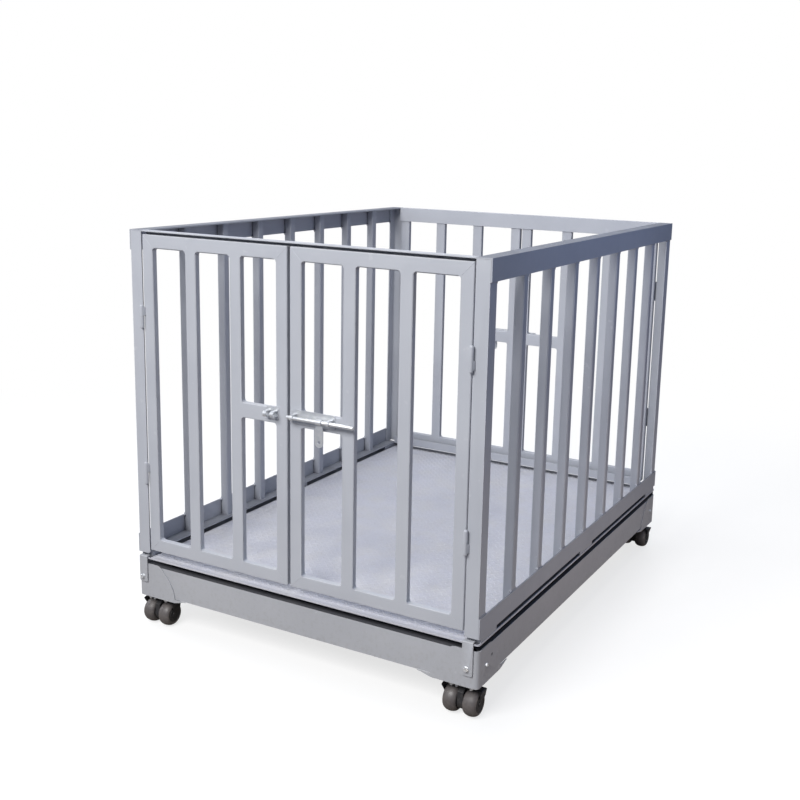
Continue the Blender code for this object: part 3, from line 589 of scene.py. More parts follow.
def turnedShape(profile, steps, axis="Z", place=(0, 0, 0), phase=0.0):
    # (radius, height) points spun about the Z axis, then laid along another axis
    bm = bmesh.new()
    points = [bm.verts.new((radius, 0.0, height)) for radius, height in profile]
    edges = [bm.edges.new(pair) for pair in zip(points, points[1:])]
    bmesh.ops.spin(
        bm,
        geom=points + edges,
        cent=(0, 0, 0),
        axis=(0, 0, 1),
        angle=2 * math.pi,
        steps=steps,
        use_merge=True,
    )
    bmesh.ops.remove_doubles(bm, verts=bm.verts, dist=turnedWeld)
    bmesh.ops.recalc_face_normals(bm, faces=bm.faces)
    turnAll(bm, rotation(phase, "Z"))
    turnAll(bm, facing[axis])
    moveAll(bm, place)
    return bm


def cutShape(outline, low, high, axis="Y", hole=None):
    # a flat outline given its thickness from low to high along an axis, with one hole if asked
    spread = {
        "X": lambda a, b: (low, a, b),
        "Y": lambda a, b: (a, low, b),
        "Z": lambda a, b: (a, b, low),
    }[axis]
    bm = bmesh.new()
    for loop in [outline] + ([hole] if hole else []):
        ring = [bm.verts.new(spread(a, b)) for a, b in loop]
        for k in range(len(ring)):
            bm.edges.new((ring[k - 1], ring[k]))
    if hole:
        bmesh.ops.triangle_fill(bm, edges=bm.edges[:], use_beauty=True)
    else:
        bmesh.ops.contextual_create(bm, geom=bm.edges[:])
    copied = bmesh.ops.extrude_face_region(bm, geom=bm.faces[:], use_keep_orig=True)["geom"]
    shift = Vector([(high - low) if name == axis else 0.0 for name in "XYZ"])
    bmesh.ops.translate(bm, vec=shift, verts=onlyVerts(copied))
    bmesh.ops.recalc_face_normals(bm, faces=bm.faces)
    return bm


def joined(shapes):
    whole = bmesh.new()
    for shape in shapes:
        mesh = bpy.data.meshes.new("joined")
        shape.to_mesh(mesh)
        shape.free()
        whole.from_mesh(mesh)
        bpy.data.meshes.remove(mesh)
    return whole


def halfTurn(bm, isRear):
    # the rear gate and casters are the front ones turned half round
    if isRear:
        turnAll(bm, rotation(180, "Z"))
    return bm


def hexagonHead(across, height, axis, place, phase):
    radius = across / math.sqrt(3)
    profile = [
        (0, 0),
        (radius, 0),
        (radius, height - 0.14 * across),
        (radius * 0.84, height),
        (radius * 0.5, height),
        (radius * 0.42, height - 0.0003),
        (0, height - 0.0003),
    ]
    return turnedShape(profile, 6, axis, place, phase)


def washerRing(radius, thickness, axis, place):
    profile = [
        (0, 0),
        (radius - 0.0003, 0),
        (radius, 0.0004),
        (radius - 0.0001, thickness - 0.0004),
        (radius - 0.0006, thickness),
        (0, thickness),
    ]
    return turnedShape(profile, 32, axis, place)


def threadedTip(radius, length, axis, place):
    # ridges of a screw thread, with a chamfered end
    pitch = 0.00125
    profile = [(0, 0), (radius, 0)]
    height = 0.0
    while height + pitch < length - 0.001:
        profile += [(radius, height + 0.4 * pitch), (radius * 0.88, height + 0.7 * pitch)]
        profile.append((radius, height + pitch))
        height += pitch
    profile += [(radius * 0.84, length - 0.0003), (radius * 0.78, length), (0, length)]
    return turnedShape(profile, 20, axis, place)


# Casters

casterWheel = {
    "radius": 0.0375,
    "rim": 0.0262,
    "seat": 0.0246,
    "halfWidth": 0.0203,
    "roundness": 2.0,
    "capRadius": 0.0080,
    "capHeight": 0.0215,
    "rings": (
        (0.0084, 0.0012), (0.0124, 0.0014), (0.0132, 0.0006), (0.0186, 0.0004),
        (0.0192, 0.0014), (0.0208, 0.0014), (0.0214, 0.0006), (0.0246, 0.0012),
    ),
    "bore": 0.0052,
    "boreDepth": 0.008,
    "spread": 0.030,
    "steps": 64,
}
casterPlace = {"x": 0.533, "y": 0.705, "trail": 0.025}


def makeWheel(node, corner, side, look):
    # half of a twin wheel: a crowned tyre round a ringed black centre with a blind bore
    half, seat = look["halfWidth"], look["seat"]
    tyre = [(seat, 0.0), (seat, half - 0.0006), (look["rim"] - 0.0006, half - 0.0002)]
    bulge = 2.0 / look["roundness"]
    for k in range(25):
        angle = math.radians(90 - 7.5 * k)
        along = math.copysign(abs(math.sin(angle)) ** bulge, math.sin(angle))
        out = max(0.0, math.cos(angle)) ** bulge
        tyre.append((look["rim"] + (look["radius"] - look["rim"]) * out, half * along))
    tyre += [(look["rim"] - 0.0006, 0.0002 - half), (seat, 0.0006 - half), (seat, 0.0)]
    centre = [
        (0, look["capHeight"]),
        (look["capRadius"] - 0.0012, look["capHeight"]),
        (look["capRadius"], look["capHeight"] - 0.0006),
        *((radius, half - depth) for radius, depth in look["rings"]),
        (seat, 0.0010 - half),
        (look["bore"], 0.0002 - half),
        (look["bore"], look["boreDepth"]),
        (0, look["boreDepth"]),
    ]
    halves = (("_tyre", tyre, "tyre", 60), ("_centre", centre, "wheelPlastic", 35))
    for label, profile, finish, angle in halves:
        wheel = turnedShape(profile, look["steps"], "X" if side > 0 else "-X")
        moveAll(wheel, (side * look["spread"], -casterPlace["trail"], look["radius"]))
        placeCaster(wheel, corner)
        piece = finishPiece(node + label, wheel, finish, node, angle)
        if finish == "tyre":
            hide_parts(node)


def placeCaster(bm, corner):
    sideways, lengthways = corners[corner]
    halfTurn(bm, lengthways > 0)
    moveAll(bm, (sideways * casterPlace["x"], lengthways * casterPlace["y"], 0.0))
    return bm


casterHood = {
    "crown": (
        (0, 0.0931), (0.0270, 0.0931), (0.0303, 0.0923), (0.0315, 0.0903),
        (0.0315, 0.0870), (0.0303, 0.0865), (0.0303, 0.0852), (0.0315, 0.0847),
        (0.0315, 0.0800), (0.0303, 0.0779), (0.0280, 0.0768), (0, 0.0768),
    ),
    "axleHeight": 0.0375,
    "axleEnd": ((0.0048, 0.0357), (0.0040, 0.0365), (0, 0.0365)),
    "webHalf": 0.0085,
    "webRadius": 0.024,
    "webFront": ((0.024, 0.0790), (0.020, 0.0600)),
    "webBack": ((-0.046, 0.0680), (-0.030, 0.0790)),
    "roofOuter": ((0.0560, 0.0200), (0.0590, 0.0380), (0.0585, 0.0400), (0.0565, 0.0415)),
    "roofInner": ((0.0550, 0.0393), (0.0568, 0.0380), (0.0542, 0.0200)),
    "browAngle": 101.0,
    "cheekAngle": 116.0,
    "cheek": (
        (0.0545, 0.0150), (0.0575, 0.0300), (0.0598, 0.0412),
        (0.0580, 0.0412), (0.0555, 0.0300), (0.0528, 0.0150),
    ),
    "back": 0.020,
    "soft": 0.0004,
}


def sweptRound(section, axle, start, end, steps, back):
    # an (x, radius) section swept about the axle, then drawn straight back
    bm = bmesh.new()
    y, z = math.cos(math.radians(start)), math.sin(math.radians(start))
    ring = [bm.verts.new((x, axle[0] + r * y, axle[1] + r * z)) for x, r in section]
    edges = [bm.edges.new((ring[k - 1], ring[k])) for k in range(len(ring))]
    swept = bmesh.ops.spin(
        bm,
        geom=ring + edges,
        cent=(0, axle[0], axle[1]),
        axis=(1, 0, 0),
        angle=math.radians(end - start),
        steps=steps,
    )
    drawn = bmesh.ops.extrude_edge_only(bm, edges=onlyEdges(swept["geom_last"]))["geom"]
    bmesh.ops.translate(bm, vec=(0, back, 0), verts=onlyVerts(drawn))
    bmesh.ops.holes_fill(bm, edges=bm.edges)
    bmesh.ops.recalc_face_normals(bm, faces=bm.faces)
    return bm


def makeHood(node, corner, look):
    # swivel crown with its race groove, the web between the wheels, and the hood over them
    axle = (-casterPlace["trail"], look["axleHeight"])
    around = arcPoints(axle, look["webRadius"], 20, -200, 24)
    web = [*look["webFront"], *around, *look["webBack"]]
    half = look["webHalf"]
    pin = [(radius, -x) for radius, x in reversed(look["axleEnd"])] + list(look["axleEnd"])
    shapes = [
        turnedShape(look["crown"], 48),
        cutShape(web, -half, half, "X"),
        turnedShape(pin, 24, "X", (0, axle[0], axle[1])),
    ]

    outer, inner = look["roofOuter"], look["roofInner"]
    roof = [(-x, r) for x, r in outer] + [(x, r) for x, r in reversed(outer)]
    roof += [(x, r) for x, r in reversed(inner)] + [(-x, r) for x, r in inner]
    shapes.append(sweptRound(roof, axle, look["browAngle"], 90, 5, look["back"]))
    for side in (-1, 1):
        cheek = [(side * x, r) for x, r in look["cheek"]]
        shapes.append(sweptRound(cheek, axle, look["cheekAngle"], 90, 10, look["back"]))

    hood = placeCaster(joined(shapes), corner)
    piece = finishPiece(node + "_formed", hood, "hoodPlastic", node, 40)
    softenEdges(piece, look["soft"])
    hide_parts(node)


plateNuts = {
    "spots": ((-0.030, -0.041), (0.030, -0.041), (-0.030, 0.041), (0.030, 0.041)),
    "across": 0.0150,
    "height": 0.0078,
    "tipRadius": 0.0050,
    "tipLength": 0.0134,
    "washerRadius": 0.0098,
    "washerThickness": 0.0014,
    "screwRadius": 0.0045,
    "screwSpot": (-0.014, 0.041),
    "under": 0.0934,
}


def makePlate(node, corner, look):
    # the mounting plate without its nuts, then the nuts, bolt ends and the lock screw
    trimmedCopy(node, "blackSteel", -look["under"], (0, 0, -1))
    sideways, lengthways = corners[corner]
    shapes = []
    for k, (x, y) in enumerate(look["spots"]):
        spot = (sideways * casterPlace["x"] + x, lengthways * casterPlace["y"] + y, look["under"])
        shapes.append(washerRing(look["washerRadius"], look["washerThickness"], "-Z", spot))
        shapes.append(hexagonHead(look["across"], look["height"], "-Z", spot, 17.0 * k + 9.0))
        shapes.append(threadedTip(look["tipRadius"], look["tipLength"], "-Z", spot))
    x, y = look["screwSpot"]
    spot = (sideways * casterPlace["x"] + x, lengthways * (casterPlace["y"] + y), look["under"])
    shapes.append(threadedTip(look["screwRadius"], look["tipLength"], "-Z", spot))
    finishPiece(corner + "_caster_nuts", joined(shapes), "zinc", node)


for corner in corners:
    makeWheel(corner + "_caster_wheel_a", corner, -1, casterWheel)
    makeWheel(corner + "_caster_wheel_b", corner, 1, casterWheel)
    makeHood(corner + "_caster_hood", corner, casterHood)
    makePlate(corner + "_caster_plate", corner, plateNuts)
print("casters made")


# Bolts in the shrouds and straps

shroudBolt = {
    "y": 0.718,
    "z": 0.149,
    "face": 0.5908,
    "across": 0.0100,
    "washer": 0.0064,
    "thickness": 0.0013,
    "head": 0.0036,
}
strapBolt = {
    "face": 0.7701,
    "across": 0.0130,
    "washer": 0.0083,
    "thickness": 0.0013,
    "head": 0.0050,
    "spots": {"front_left": (-0.572, 0.160), "front_right": (0.557, 0.150)},
}


def boltShapes(look, axis, place, phase):
    lift = facing[axis] @ Vector((0, 0, look["thickness"]))
    return [
        washerRing(look["washer"], look["thickness"], axis, Vector(place)),
        hexagonHead(look["across"], look["head"], axis, Vector(place) + lift, phase),
    ]


for k, (corner, (sideways, lengthways)) in enumerate(corners.items()):
    trimmedCopy(corner + "_shroud", "basePaint", shroudBolt["face"], (sideways, 0, 0))
    trimmedCopy(corner + "_strap", "basePaint", strapBolt["face"], (0, lengthways, 0))
    spot = (sideways * shroudBolt["face"], lengthways * shroudBolt["y"], shroudBolt["z"])
    shapes = boltShapes(shroudBolt, "X" if sideways > 0 else "-X", spot, 22.0 * k)
    front = corner if lengthways < 0 else ("front_right" if sideways < 0 else "front_left")
    x, z = strapBolt["spots"][front]
    x = x if lengthways < 0 else -x
    spot = (x, lengthways * strapBolt["face"], z)
    shapes += boltShapes(strapBolt, "Y" if lengthways > 0 else "-Y", spot, 14.0 + 31.0 * k)
    finishPiece(corner + "_bolts", joined(shapes), "zinc", corner + "_caster_plate")
print("bolts made")


# Welds: fillets in the corners of the openings and beads along the seams

opening = {"fillet": 0.0065, "bite": 0.0022}
doorFrame = {
    "tube": 0.038,
    "hingeEdge": 0.542,
    "frontSeams": (-0.0235, -0.0145),
    "rearSeams": (-0.0030, 0.0060),
    "levels": (0.289, 0.727, 0.771, 1.188),
    "faces": (0.7646, 0.7456),
}
sideFrame = {
    "first": -0.559,
    "pitch": 0.1845,
    "bar": 0.028,
    "bars": 7,
    "postEdge": 0.725,
    "levels": (0.296, 1.178),
    "faces": (0.5800, 0.5866),
    "outside": 0.5870,
    "inside": 0.5582,
    "insideLevels": (0.2420, 1.2338),
    "postReach": (0.7270, 0.7640),
    "seat": 0.0004,
    "endGap": 0.001,
    "beads": {"outside": 0.0018, "inside": 0.0020, "post": 0.0019},
}
doorSpans = []
for isRear, leftNode, rightNode, seams in (
    (False, "front_left_door", "front_right_door", doorFrame["frontSeams"]),
    (True, "rear_right_door", "rear_left_door", doorFrame["rearSeams"]),
):
    doorSpans.append((leftNode, -doorFrame["hingeEdge"], seams[0], 2, isRear))
    doorSpans.append((rightNode, seams[1], doorFrame["hingeEdge"], 0, isRear))


def weldBead(start, end, radius, ripple=0.0016):
    # a laid bead: overlapping ripples from one end to the other, thin at both ends
    start, end = Vector(start), Vector(end)
    length = (end - start).length
    count = max(3, int(length / ripple))
    profile = [(0, 0)]
    for k in range(count):
        swell = min(1.0, 0.62 + 0.38 * min(k, count - 1 - k) / 2.0)
        profile += [
            (radius * swell * 0.84, length * (k + 0.15) / count),
            (radius * swell, length * (k + 0.5) / count),
        ]
    profile += [(radius * 0.5, length), (0, length)]
    bead = turnedShape(profile, 8)
    turnAll(bead, (end - start).to_track_quat("Z", "Y").to_matrix())
    moveAll(bead, start)
    return bead


def cornerFillets(a, b, c, d, low, high, axis):
    # four rounded corners of one opening, from a to b across and from c to d upwards
    bite, radius = opening["bite"], opening["fillet"]
    shapes = []
    for across, sideA in ((a, 1), (b, -1)):
        for upward, sideB in ((c, 1), (d, -1)):
            outline = [(-bite, -bite), (radius, -bite)]
            outline += arcPoints((radius, radius), radius, 270, 180, 6)
            outline += [(-bite, radius)]
            outline = [(across + sideA * p, upward + sideB * q) for p, q in outline]
            shapes.append(cutShape(outline, low, high, axis))
    return shapes


def makeDoorFillets(node, low, high, latchBay, isRear, look):
    space = (high - low - 4 * look["tube"]) / 3
    back, front = -look["faces"][1], -look["faces"][0]
    shapes = []
    for bay in range(3):
        start = low + look["tube"] + bay * (look["tube"] + space)
        foot, lower, upper, head = look["levels"]
        cells = ((foot, lower), (upper, head)) if bay == latchBay else ((foot, head),)
        for bottom, top in cells:
            shapes += cornerFillets(start, start + space, bottom, top, front, back, "Y")
    bm = halfTurn(joined(shapes), isRear)
    finishPiece(node + "_fillets", bm, "gatePaint", node)


for node, low, high, latchBay, isRear in doorSpans:
    makeDoorFillets(node, low, high, latchBay, isRear, doorFrame)


mitre = {"low": 0.251, "high": 1.226, "near": 0.0015, "far": 0.0370, "face": 0.7648, "proud": 0.0009}


def makeMitres(node, low, high, isRear, look):
    # ground-down weld across each corner of the door's frame
    shapes = []
    for x, sideways in ((low, 1), (high, -1)):
        for z, upwards in ((look["low"], 1), (look["high"], -1)):
            start, end = (
                (x + sideways * reach, -look["face"], z + upwards * reach)
                for reach in (look["near"], look["far"])
            )
            shapes.append(weldBead(start, end, look["proud"]))
    bm = halfTurn(joined(shapes), isRear)
    finishPiece(node + "_mitres", bm, "gatePaint", node, 60)


for node, low, high, latchBay, isRear in doorSpans:
    makeMitres(node, low, high, isRear, mitre)


def makeSideWelds(label, side, look):
    inner, outer = sorted((side * look["faces"][0], side * look["faces"][1]))
    edges = [-look["postEdge"]]
    for k in range(look["bars"]):
        near = look["first"] + k * look["pitch"]
        edges += [near, near + look["bar"]]
    edges.append(look["postEdge"])
    foot, head = look["levels"]
    shapes = []
    for a, b in zip(edges[0::2], edges[1::2]):
        shapes += cornerFillets(a, b, foot, head, inner, outer, "X")
    seams = (foot + look["seat"], head - look["seat"])
    beads, gap = look["beads"], look["endGap"]
    rows = [(side * look["outside"], z, beads["outside"]) for z in seams]
    rows += [(side * look["inside"], z, beads["inside"]) for z in look["insideLevels"]]
    for a, b in zip(edges[1:-1:2], edges[2:-1:2]):
        for x, z, radius in rows:
            shapes.append(weldBead((x, a + gap, z), (x, b - gap, z), radius))
    x = side * (look["outside"] - gap)
    near, far = look["postReach"]
    for end in (-1, 1):
        for z in seams:
            shapes.append(weldBead((x, end * near, z), (x, end * far, z), beads["post"]))
    finishPiece(label + "_side_welds", joined(shapes), "shadedSidePaint", label + "_side_frame", 60)


makeSideWelds("left", -1, sideFrame)
makeSideWelds("right", 1, sideFrame)
print("welds made")


# Bullet hinges

bulletHinge = {
    "x": 0.544,
    "y": 0.7715,
    "levels": (0.500, 0.983),
    "radius": 0.0062,
    "half": 0.0360,
    "dome": 0.0060,
    "gap": 0.0002,
    "chamfer": 0.0004,
}


def makeHinges(look):
    # half a hinge from its domed end to the gap in the middle
    wide, gap, chamfer = look["radius"], look["gap"], look["chamfer"]
    top = look["half"] + gap
    profile = [(0, top)]
    for angle in range(15, 91, 15):
        turn = math.radians(angle)
        profile.append((wide * math.sin(turn), top - look["dome"] * (1 - math.cos(turn))))
    profile += [(wide, gap + chamfer), (wide - chamfer, gap), (0, gap)]
    for corner, (sideways, lengthways) in corners.items():
        fixed = []
        swinging = []
        for level in look["levels"]:
            spot = (sideways * look["x"], lengthways * look["y"], level)
            swinging.append(turnedShape(profile, 32, "Z", spot))
            fixed.append(turnedShape(profile, 32, "-Z", spot))
        finishPiece(corner + "_hinge_pins", joined(fixed), "gatePaint", corner + "_post")
        finishPiece(corner + "_hinge_sleeves", joined(swinging), "gatePaint", corner + "_door")


makeHinges(bulletHinge)
print("hinges made")


# Slide bolts

slideBolt = {
    "y": -0.785,
    "z": 0.757,
    "rodRadius": 0.0055,
    "rodLength": 0.220,
    "rodCentre": 0.117,
    "rodNose": ((-0.0020, 0), (-0.0006, 0.0016), (0, 0.0032)),
    "rodGroove": ((0, 0.0090), (-0.0004, 0.0094), (0, 0.0098)),
    "keeperCentre": -0.052,
    "guideStart": 0.019,
    "plateBack": 0.0197,
    "plateThickness": 0.0025,
    "loopGap": 0.0005,
    "loopWall": 0.0025,
    "loopSeat": 0.0006,
    "weld": (0.0172, 0.0094, 0.0012),
    "keeper": {
        "ends": (-0.020, 0.020),
        "height": 0.036,
        "corner": 0.004,
        "loops": ((0.0065, 0.0175), (-0.0175, -0.0065)),
    },
    "guide": {
        "ends": (0.0, 0.136),
        "height": 0.040,
        "corner": 0.005,
        "loops": ((0.002, 0.012), (0.122, 0.132)),
    },
    "haspCentre": 0.1165,
    "haspHalf": 0.0090,
    "haspLap": 0.0012,
    "haspEdge": ((-0.0110, -0.0140), (-0.0130, -0.0220)),
    "haspEnd": -0.0580,
    "haspRadius": 0.0130,
    "haspThickness": 0.0030,
    "padlockHole": {"height": -0.0560, "radius": 0.0045},
}


def bentLoop(low, high, look):
    # a strap bent over the rod, its two feet on the plate behind
    inner = look["rodRadius"] + look["loopGap"]
    outer = inner + look["loopWall"]
    foot = look["plateBack"] - look["plateThickness"] + look["loopSeat"]
    outline = [(foot, -outer)]
    outline += arcPoints((0, 0), outer, 270, 90, 16)
    outline += [(foot, outer), (foot, inner)]
    outline += arcPoints((0, 0), inner, 90, 270, 16)
    outline += [(foot, -inner)]
    return cutShape(outline, low, high, "X")


def loopedPlate(part, look):
    # a plate with round corners, its bent loops, and a bead along each loop's upper foot
    low, high = part["ends"]
    radius, halfHeight = part["corner"], part["height"] / 2
    outline = []
    for x, z, start in (
        (high - radius, halfHeight - radius, 0),
        (low + radius, halfHeight - radius, 90),
        (low + radius, radius - halfHeight, 180),
        (high - radius, radius - halfHeight, 270),
    ):
        outline += arcPoints((x, z), radius, start, start + 90, 5)
    shapes = [cutShape(outline, look["plateBack"] - look["plateThickness"], look["plateBack"], "Y")]
    y, z, radius = look["weld"]
    for start, end in part["loops"]:
        shapes.append(bentLoop(start, end, look))
        shapes.append(weldBead((start, y, z), (end, y, z), radius))
    return shapes


def makeLatch(label, seam, isRear, look):
    def finish(node, shapes, x, width):
        bm = joined(shapes)
        moveAll(bm, (x, look["y"], look["z"]))
        halfTurn(bm, isRear)
        piece = finishPiece(node + "_formed", bm, "zinc", node)
        softenEdges(piece, width)
        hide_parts(node)

    keeper = loopedPlate(look["keeper"], look)
    finish(label + "_bolt_keeper", keeper, seam + look["keeperCentre"], 0.0006)
    guide = loopedPlate(look["guide"], look)
    finish(label + "_bolt_guide", guide, seam + look["guideStart"], 0.0006)

    half, wide = look["rodLength"] / 2, look["rodRadius"]
    nose = [(wide + cut, along - half) for cut, along in look["rodNose"] + look["rodGroove"]]
    tail = [(wide + cut, half - along) for cut, along in reversed(look["rodNose"])]
    profile = [(0, -half), *nose, *tail, (0, half)]
    finish(label + "_bolt_rod", [turnedShape(profile, 32, "X")], seam + look["rodCentre"], 0.0001)

    inner = look["rodRadius"] + look["loopGap"]
    outer = inner + look["loopWall"]
    half, soft = look["haspHalf"], 0.0005
    section = [(inner, -half), (outer - soft, -half), (outer, soft - half), (outer, half - soft)]
    section += [(outer - soft, half), (inner, half), (inner, -half)]
    edge = [(-half, look["haspLap"] - outer), *look["haspEdge"]]
    blade = edge + arcPoints((0, look["haspEnd"]), look["haspRadius"], 180, 360, 18)
    blade += [(-x, z) for x, z in reversed(edge)]
    hole = arcPoints((0, look["padlockHole"]["height"]), look["padlockHole"]["radius"], 0, 345, 23)
    thick = look["haspThickness"] / 2
    tongue = [turnedShape(section, 32, "X"), cutShape(blade, -thick, thick, "Y", hole)]
    finish(label + "_hasp_tongue", tongue, seam + look["haspCentre"], 0.0003)


makeLatch("front", -0.019, False, slideBolt)
makeLatch("rear", 0.0015, True, slideBolt)
print("slide bolts made")


# Tread pattern

treadPattern = {
    "pitch": 0.025,
    "length": 0.0205,
    "width": 0.0060,
    "rise": 0.0011,
    "crown": (0.72, 0.45, 1.0),
    "halfWidth": 0.5400,
    "halfLength": 0.7600,
    "floor": 0.2241,
}


def makeTread(look):
    # two crossed bars, repeated over the deck
    bm = bmesh.new()
    for turn, shift in ((45.0, 0.0), (-45.0, look["pitch"] / 2)):
        ring = bmesh.ops.create_circle(bm, cap_ends=True, segments=8, radius=0.5)["verts"]
        base = ring[0].link_faces[0]
        bmesh.ops.scale(bm, vec=(look["length"], look["width"], 1.0), verts=ring)
        top = bmesh.ops.extrude_face_region(bm, geom=[base], use_keep_orig=True)["geom"]
        crown = onlyVerts(top)
        bmesh.ops.scale(bm, vec=look["crown"], verts=crown)
        bmesh.ops.translate(bm, vec=(0.0, 0.0, look["rise"]), verts=crown)
        both = ring + crown
        bmesh.ops.rotate(bm, matrix=rotation(turn, "Z"), verts=both)
        bmesh.ops.translate(bm, vec=(shift, shift, look["floor"]), verts=both)
    bmesh.ops.recalc_face_normals(bm, faces=bm.faces)
    countX = int(2 * look["halfWidth"] / look["pitch"])
    countY = int(2 * look["halfLength"] / look["pitch"])
    start = Vector((-(countX - 0.5) * look["pitch"] / 2, -(countY - 0.5) * look["pitch"] / 2, 0))
    moveAll(bm, start)
    seed = bpy.data.meshes.new("treadSeed")
    bm.to_mesh(seed)
    bm.free()
    carrier = addObject("treadSeed", seed)
    for count, offset in ((countX, (look["pitch"], 0, 0)), (countY, (0, look["pitch"], 0))):
        repeat = carrier.modifiers.new("repeat", "ARRAY")
        repeat.count = count
        repeat.use_relative_offset = False
        repeat.use_constant_offset = True
        repeat.constant_offset_displace = offset
    bpy.context.view_layer.update()
    evaluated = carrier.evaluated_get(bpy.context.evaluated_depsgraph_get())
    whole = bmesh.new()
    whole.from_mesh(evaluated.to_mesh())
    evaluated.to_mesh_clear()
    bpy.data.objects.remove(carrier)
    finishPiece("deck_tread", whole, "treadPaint", "deck_plate", 70)
    print("tread pattern:", countX, "by", countY)


makeTread(treadPattern)


# Camera, light and room

photoCamera = {
    "place": (1.7035, -3.1381, 1.5177),
    "yaw": -28.346,
    "pitch": 11.403,
    "roll": 1.409,
    "focal": 1079.5,
    "centre": (430.0, 357.0),
    "frameSize": 800.0,
    "sensor": 36.0,
}


def makeCamera(look):
    yaw, pitch, roll = (math.radians(look[key]) for key in ("yaw", "pitch", "roll"))
    ahead = Vector((math.sin(yaw) * math.cos(pitch), math.cos(yaw) * math.cos(pitch), -math.sin(pitch)))
    level = Vector((math.cos(yaw), -math.sin(yaw), 0))
    over = level.cross(ahead)
    right = level * math.cos(roll) + over * math.sin(roll)
    up = over * math.cos(roll) - level * math.sin(roll)
    camera = addObject("photoCamera", bpy.data.cameras.new("photoCamera"))
    turned = Matrix((right, up, -ahead)).transposed().to_4x4()
    camera.matrix_world = Matrix.Translation(Vector(look["place"])) @ turned
    camera.data.sensor_width = look["sensor"]
    camera.data.lens = look["focal"] / look["frameSize"] * look["sensor"]
    half = look["frameSize"] / 2
    camera.data.shift_x = (half - look["centre"][0]) / look["frameSize"]
    camera.data.shift_y = (look["centre"][1] - half) / look["frameSize"]
    camera.data.clip_end = 200.0
    bpy.context.scene.camera = camera


makeCamera(photoCamera)

lamps = {
    "key": {
        "place": (-0.20, -4.10, 3.60), "aim": (0.0, -0.5, 0.6), "size": (3.0, 2.0),
        "power": 250.0, "colour": (1.0, 0.99, 0.97),
    },
    "top": {
        "place": (-0.80, 0.30, 4.30), "aim": (-0.1, 0.0, 0.3), "size": (1.6, 2.2),
        "power": 62.0, "colour": (0.98, 0.98, 1.0),
    },
    "leftFill": {
        "place": (-4.60, -0.60, 2.20), "aim": (0.0, 0.0, 0.6), "size": (2.0, 2.0),
        "power": 70.0, "colour": (0.96, 0.98, 1.0),
    },
    "rearFill": {
        "place": (-0.60, 4.70, 2.40), "aim": (0.0, 0.0, 0.6), "size": (2.0, 2.0),
        "power": 80.0, "colour": (0.96, 0.98, 1.0), "glints": False,
    },
    "sideFill": {
        "place": (1.25, 0.08, 1.55), "aim": (0.6, 0.08, 1.20), "size": (1.7, 0.20),
        "power": 2.2, "colour": (0.24, 0.46, 1.0),
    },
    "lowFill": {
        "place": (1.75, 0.05, 0.16), "aim": (0.0, 0.05, 0.14), "size": (1.6, 0.22),
        "power": 4.2, "colour": (1.0, 0.85, 0.72),
    },
}


def addLamp(name, look):
    data = bpy.data.lights.new(name, "AREA")
    data.shape = "RECTANGLE"
    data.size, data.size_y = look["size"]
    data.energy = look["power"]
    data.color = look["colour"]
    lamp = addObject(name, data)
    lamp.visible_camera = False
    lamp.visible_glossy = look.get("glints", True)
    lamp.location = look["place"]
    aim = Vector(look["aim"]) - Vector(look["place"])
    lamp.rotation_euler = aim.to_track_quat("-Z", "Y").to_euler()


for name, look in lamps.items():
    addLamp(name, look)


room = {
    "ambient": (0.150, 0.176, 0.235),
    "mirrored": (0.33, 0.37, 0.46),
    "shadowed": (0.27, 0.27, 0.27),
    "glow": 0.74,
    "nearBounce": (0.30, 0.27, 0.24),
    "farBounce": (0.060, 0.070, 0.105),
    "nearRadius": 1.2,
    "farRadius": 3.0,
    "whiteStart": 1.8,
    "whiteRadius": 3.6,
    "floorHalf": 60.0,
    "floorHeight": -0.0005,
}


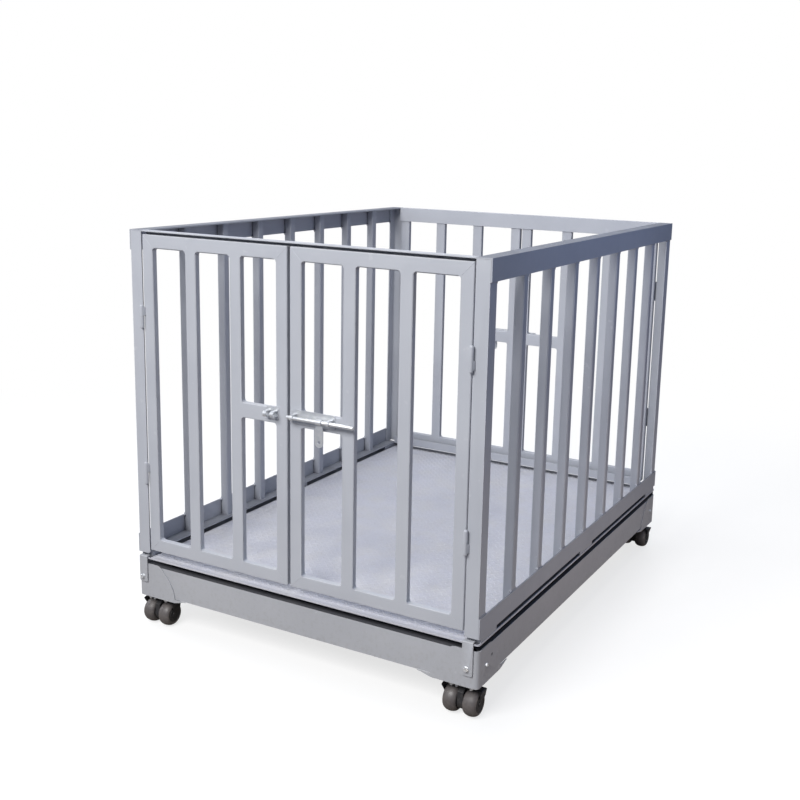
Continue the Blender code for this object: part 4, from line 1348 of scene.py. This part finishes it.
def makeRoom(look):
    # white behind everything; mirror-like and see-through rays meet it too, dimmed
    world = bpy.data.worlds.new("room")
    bpy.context.scene.world = world
    world.use_nodes = True
    tree = world.node_tree
    tree.nodes.clear()
    path = tree.nodes.new("ShaderNodeLightPath").outputs
    soft, dimmed, white = (
        addNode(tree, "ShaderNodeBackground", Color=(*colour, 1.0), Strength=1.0).outputs[0]
        for colour in (look["ambient"], look["mirrored"], (1.0, 1.0, 1.0))
    )
    mirror = math2(tree, "MAXIMUM", path["Is Glossy Ray"], path["Is Transmission Ray"])
    unseen = mixShader(tree, mirror, soft, dimmed)
    surround = mixShader(tree, path["Is Camera Ray"], unseen, white)
    addNode(tree, "ShaderNodeOutputWorld", Surface=surround)

    bm = bmesh.new()
    bmesh.ops.create_grid(bm, x_segments=4, y_segments=4, size=look["floorHalf"])
    moveAll(bm, (0.0, 0.0, look["floorHeight"]))
    mesh = bpy.data.meshes.new("floor")
    bm.to_mesh(mesh)
    bm.free()
    material, tree, shader = startMaterial("floor")
    camera = tree.nodes.new("ShaderNodeLightPath").outputs["Is Camera Ray"]
    place = objectPlace(tree)
    radius = addNode(tree, "ShaderNodeVectorMath", {"operation": "LENGTH"}, i0=place).outputs["Value"]
    shader.inputs["Base Color"].default_value = (*look["shadowed"], 1.0)
    shader.inputs["Roughness"].default_value = 0.9
    shader.inputs["Specular IOR Level"].default_value = 0.0
    shader.inputs["Emission Color"].default_value = (1.0, 1.0, 1.0, 1.0)
    shader.inputs["Emission Strength"].default_value = look["glow"]
    white = addNode(tree, "ShaderNodeEmission", Strength=1.0).outputs[0]
    away = remap(tree, radius, look["whiteStart"], look["whiteRadius"])
    seen = mixShader(tree, away, shader.outputs[0], white)
    spread = remap(tree, radius, look["nearRadius"], look["farRadius"])
    lit = mixColour(tree, spread, look["nearBounce"], look["farBounce"])
    bounce = addNode(tree, "ShaderNodeBsdfDiffuse", Color=lit).outputs[0]
    surface = mixShader(tree, camera, bounce, seen)
    tree.links.new(surface, tree.nodes["Material Output"].inputs["Surface"])
    mesh.materials.append(material)
    floor = addObject("floor", mesh)


makeRoom(room)
bpy.context.scene.view_settings.view_transform = "Standard"
print("camera and light set")
